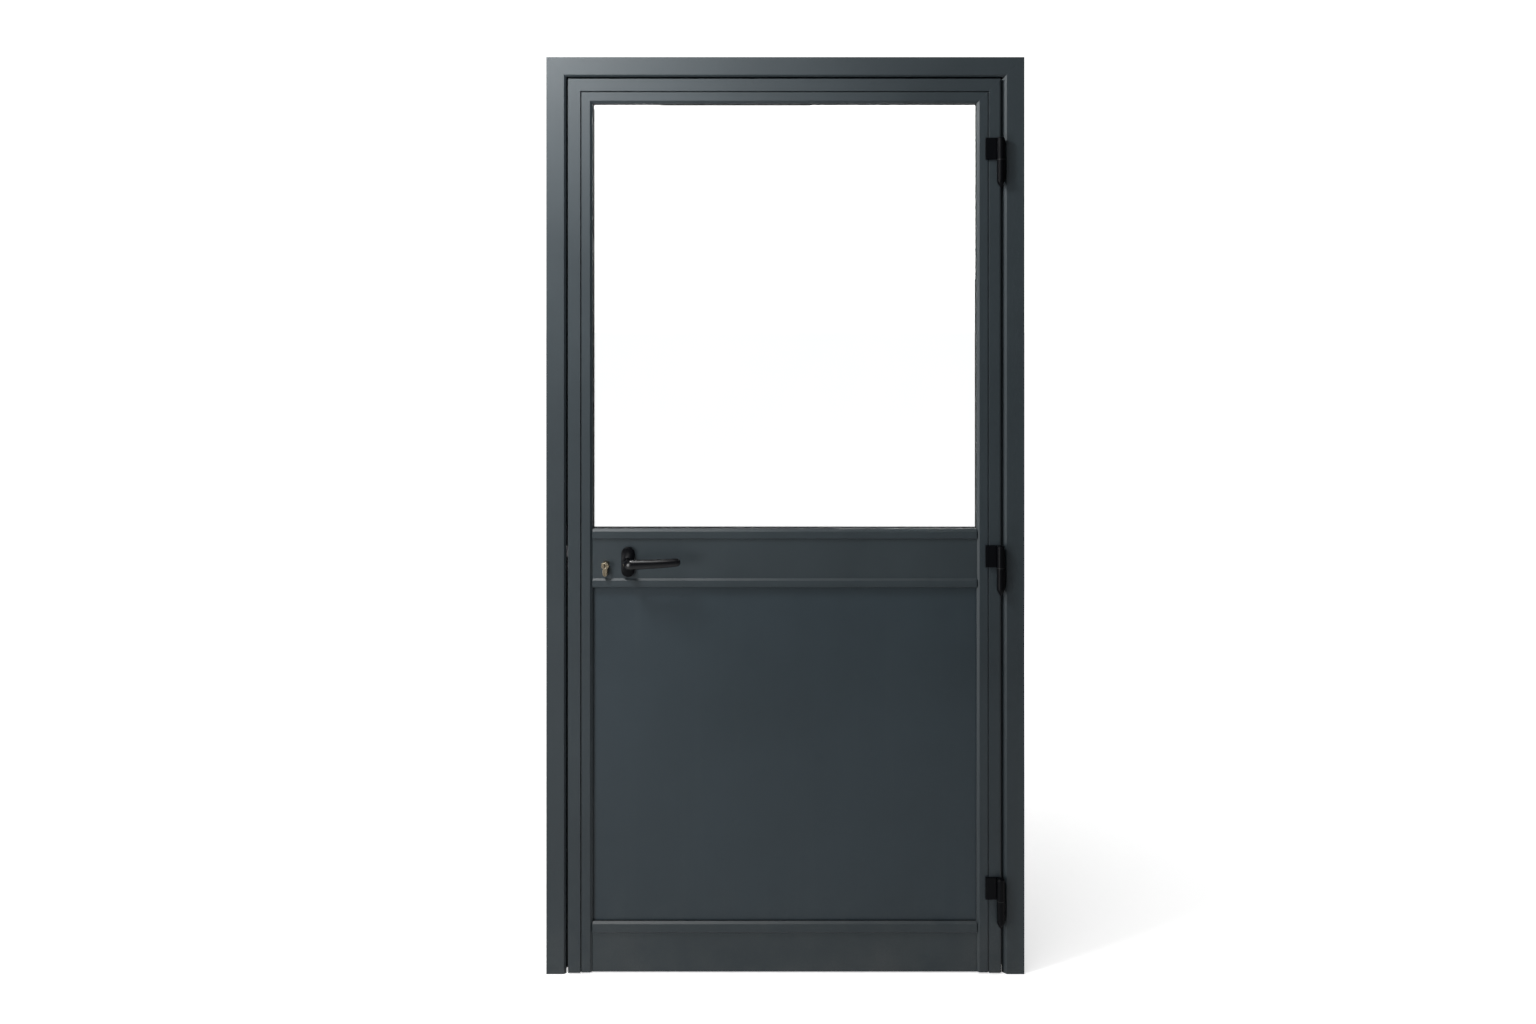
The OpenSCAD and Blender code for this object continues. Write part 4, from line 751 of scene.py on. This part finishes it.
def makeSeal(name, node, out):  # out is the way the seal faces, away from the pane
    low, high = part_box(node)
    thick = high.y - low.y
    foot, lip = seal["foot"], seal["lip"]
    # across the seal, from its outer edge towards the opening, and up from the pane
    edge = [(foot + lip * across, thick * up) for across, up in seal["lipProfile"]]
    outline = [(0, 0)] + edge + [(0, thick)]
    flip = 1 if out < 0 else -1
    pane = high.y if out < 0 else low.y
    points = [Vector((foot - across, flip * up, 0)) for across, up in outline]
    piece = meshObject(name, points, [], [(k, (k + 1) % len(points)) for k in range(len(points))])
    wide, tall = high.x - low.x - 2 * foot, high.z - low.z - 2 * foot
    grow(piece, sealTree, {"Width": wide, "Height": tall, "Corner": seal["corner"],
                           "Middle": ((low.x + high.x) / 2, pane, (low.z + high.z) / 2),
                           "Finish": finishes["sealRubber"]})
    dress(faceOut(piece), "sealRubber", "leaf", [node])


for name, (node, out) in sealFacing.items():
    makeSeal(name, node, out)
print("seals done")


# Latch spring: in the lock one end goes with the latch and the other stays with the leaf; this coil is a
# fixed shape attached to no body

spring = {"turns": 6.0, "wire": 0.45 * mm, "coilSteps": 28, "wireSides": 12}


def makeSpringTree():
    tree, given, out = geometryTree("coilSpring", [
        ("Radius", floatSocket, 0.004), ("Length", floatSocket, 0.02), ("Turns", floatSocket, 6.0),
        ("Wire", floatSocket, 0.0005), ("Foot", vectorSocket, (0.0, 0.0, 0.0))])
    coil = put(tree, "GeometryNodeCurveSpiral", {
        "Resolution": spring["coilSteps"], "Rotations": given["Turns"], "Start Radius": given["Radius"],
        "End Radius": given["Radius"], "Height": given["Length"]})
    wire = put(tree, "GeometryNodeCurvePrimitiveCircle", {"Resolution": spring["wireSides"],
                                                          "Radius": given["Wire"]})
    swept = put(tree, "GeometryNodeCurveToMesh", {"Curve": coil.outputs[0], "Profile Curve": wire.outputs[0],
                                                  "Fill Caps": True})
    laid = transformed(tree, swept.outputs[0], given["Foot"], (0, math.pi / 2, 0))
    endTree(tree, laid, given, out)
    return tree


def makeSpring():
    low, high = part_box("latch_spring")
    wire = spring["wire"]
    middle = (low + high) / 2
    piece = meshObject("latchSpring", [], [])
    grow(piece, makeSpringTree(), {
        "Radius": (high.y - low.y) / 2 - wire, "Length": high.x - low.x - 2 * wire, "Turns": spring["turns"],
        "Wire": wire, "Foot": (low.x + wire, middle.y, middle.z), "Finish": finishes["brushedSteel"]})
    dress(faceOut(piece), "brushedSteel", None, ["latch_spring"])
    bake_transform(piece)


makeSpring()
print("spring done")


# Stage: pale floor, soft light and the camera

floorLook = {"reach": 60.0, "tones": ((0.86, 0.86, 0.86, 1), (0.9, 0.9, 0.9, 1)), "fade": (0.4, 3.0),
             "nearGlow": (0.55, 0.55, 0.55, 1), "rough": 0.9, "specular": 0.2}


def seenDirectly(tree):  # 1 for what the camera sees, straight or through glass
    path = put(tree, "ShaderNodeLightPath").outputs
    return doMath(tree, "MAXIMUM", path["Is Camera Ray"], path["Is Transmission Ray"])


def makeStage():  # a pale floor that fades to white away from the object
    material, tree, surface = startMaterial("paleFloor")
    place = put(tree, "ShaderNodeTexCoord").outputs["Object"]
    cloud = put(tree, "ShaderNodeTexNoise", {"Vector": place, "Scale": 0.8, "Detail": 3.0})
    tree.links.new(blendColour(tree, cloud.outputs[0], *floorLook["tones"]), surface.inputs["Base Color"])
    away = put(tree, "ShaderNodeVectorMath", {0: place}, operation="LENGTH").outputs["Value"]
    glow = blendColour(tree, spread(tree, away, *floorLook["fade"]), floorLook["nearGlow"], white)
    tree.links.new(blendColour(tree, seenDirectly(tree), black, glow), surface.inputs["Emission Color"])
    surface.inputs["Emission Strength"].default_value = 1.0
    surface.inputs["Roughness"].default_value = floorLook["rough"]
    surface.inputs["Specular IOR Level"].default_value = floorLook["specular"]
    reach = floorLook["reach"]
    corners = [(-reach, -reach, 0), (reach, -reach, 0), (reach, reach, 0), (-reach, reach, 0)]
    floor = meshObject("floor", corners, [(0, 1, 2, 3)])
    floor.data.materials.append(material)


makeStage()

studio = {"backdrop": 1.25, "fill": 0.07, "lights": {
    "keyLight": {"place": (-1.05, -0.80, 2.62), "aim": (-0.4, 0.0, 1.7), "size": 0.5, "power": 36.0},
    "frontLight": {"place": (-0.7, -2.6, 3.0), "aim": (0.0, 0.0, 1.2), "size": 1.4, "power": 21.0},
    "lowLight": {"place": (-2.8, -2.3, 0.8), "aim": (0.0, 0.0, 0.5), "size": 1.6, "power": 62.0},
    "glintLight": {"place": (-0.6, -1.3, 2.5), "aim": (-0.3, 0.0, 0.95), "size": 0.35, "power": 4.0},
    "backLight": {"place": (0.9, 3.2, 2.4), "aim": (0.0, 0.0, 1.1), "size": 1.6, "power": 45.0}}}


def makeWorld():  # white behind the object, and a dimmer light all round it
    world = bpy.data.worlds.new("studioWorld")
    scene.world = world
    world.use_nodes = True
    tree = world.node_tree
    background = tree.nodes["Background"]
    background.inputs["Color"].default_value = white
    strength = spread(tree, seenDirectly(tree), 0.0, 1.0, studio["fill"], studio["backdrop"])
    tree.links.new(strength, background.inputs["Strength"])


makeWorld()


def addLights():
    for name, lamp in studio["lights"].items():
        light = bpy.data.lights.new(name, "AREA")
        light.shape = "DISK"
        light.size = lamp["size"]
        light.energy = lamp["power"]
        holder = bpy.data.objects.new(name, light)
        scene.collection.objects.link(holder)
        holder.location = lamp["place"]
        holder.rotation_euler = (Vector(lamp["aim"]) - holder.location).to_track_quat("-Z", "Y").to_euler()


addLights()

eye = {"place": (0.0, -3.023, 1.551), "sensor": 36.0, "focal": 30.5625, "shiftX": -0.0113, "shiftY": -0.138}
camera = bpy.data.cameras.new("viewer")
camera.sensor_width = eye["sensor"]
camera.lens = eye["focal"]
camera.shift_x = eye["shiftX"]
camera.shift_y = eye["shiftY"]
viewer = bpy.data.objects.new("viewer", camera)
scene.collection.objects.link(viewer)
viewer.location = eye["place"]
viewer.rotation_euler = (math.pi / 2, 0, 0)
scene.camera = viewer
scene.view_settings.view_transform = "Standard"
print("stage done")
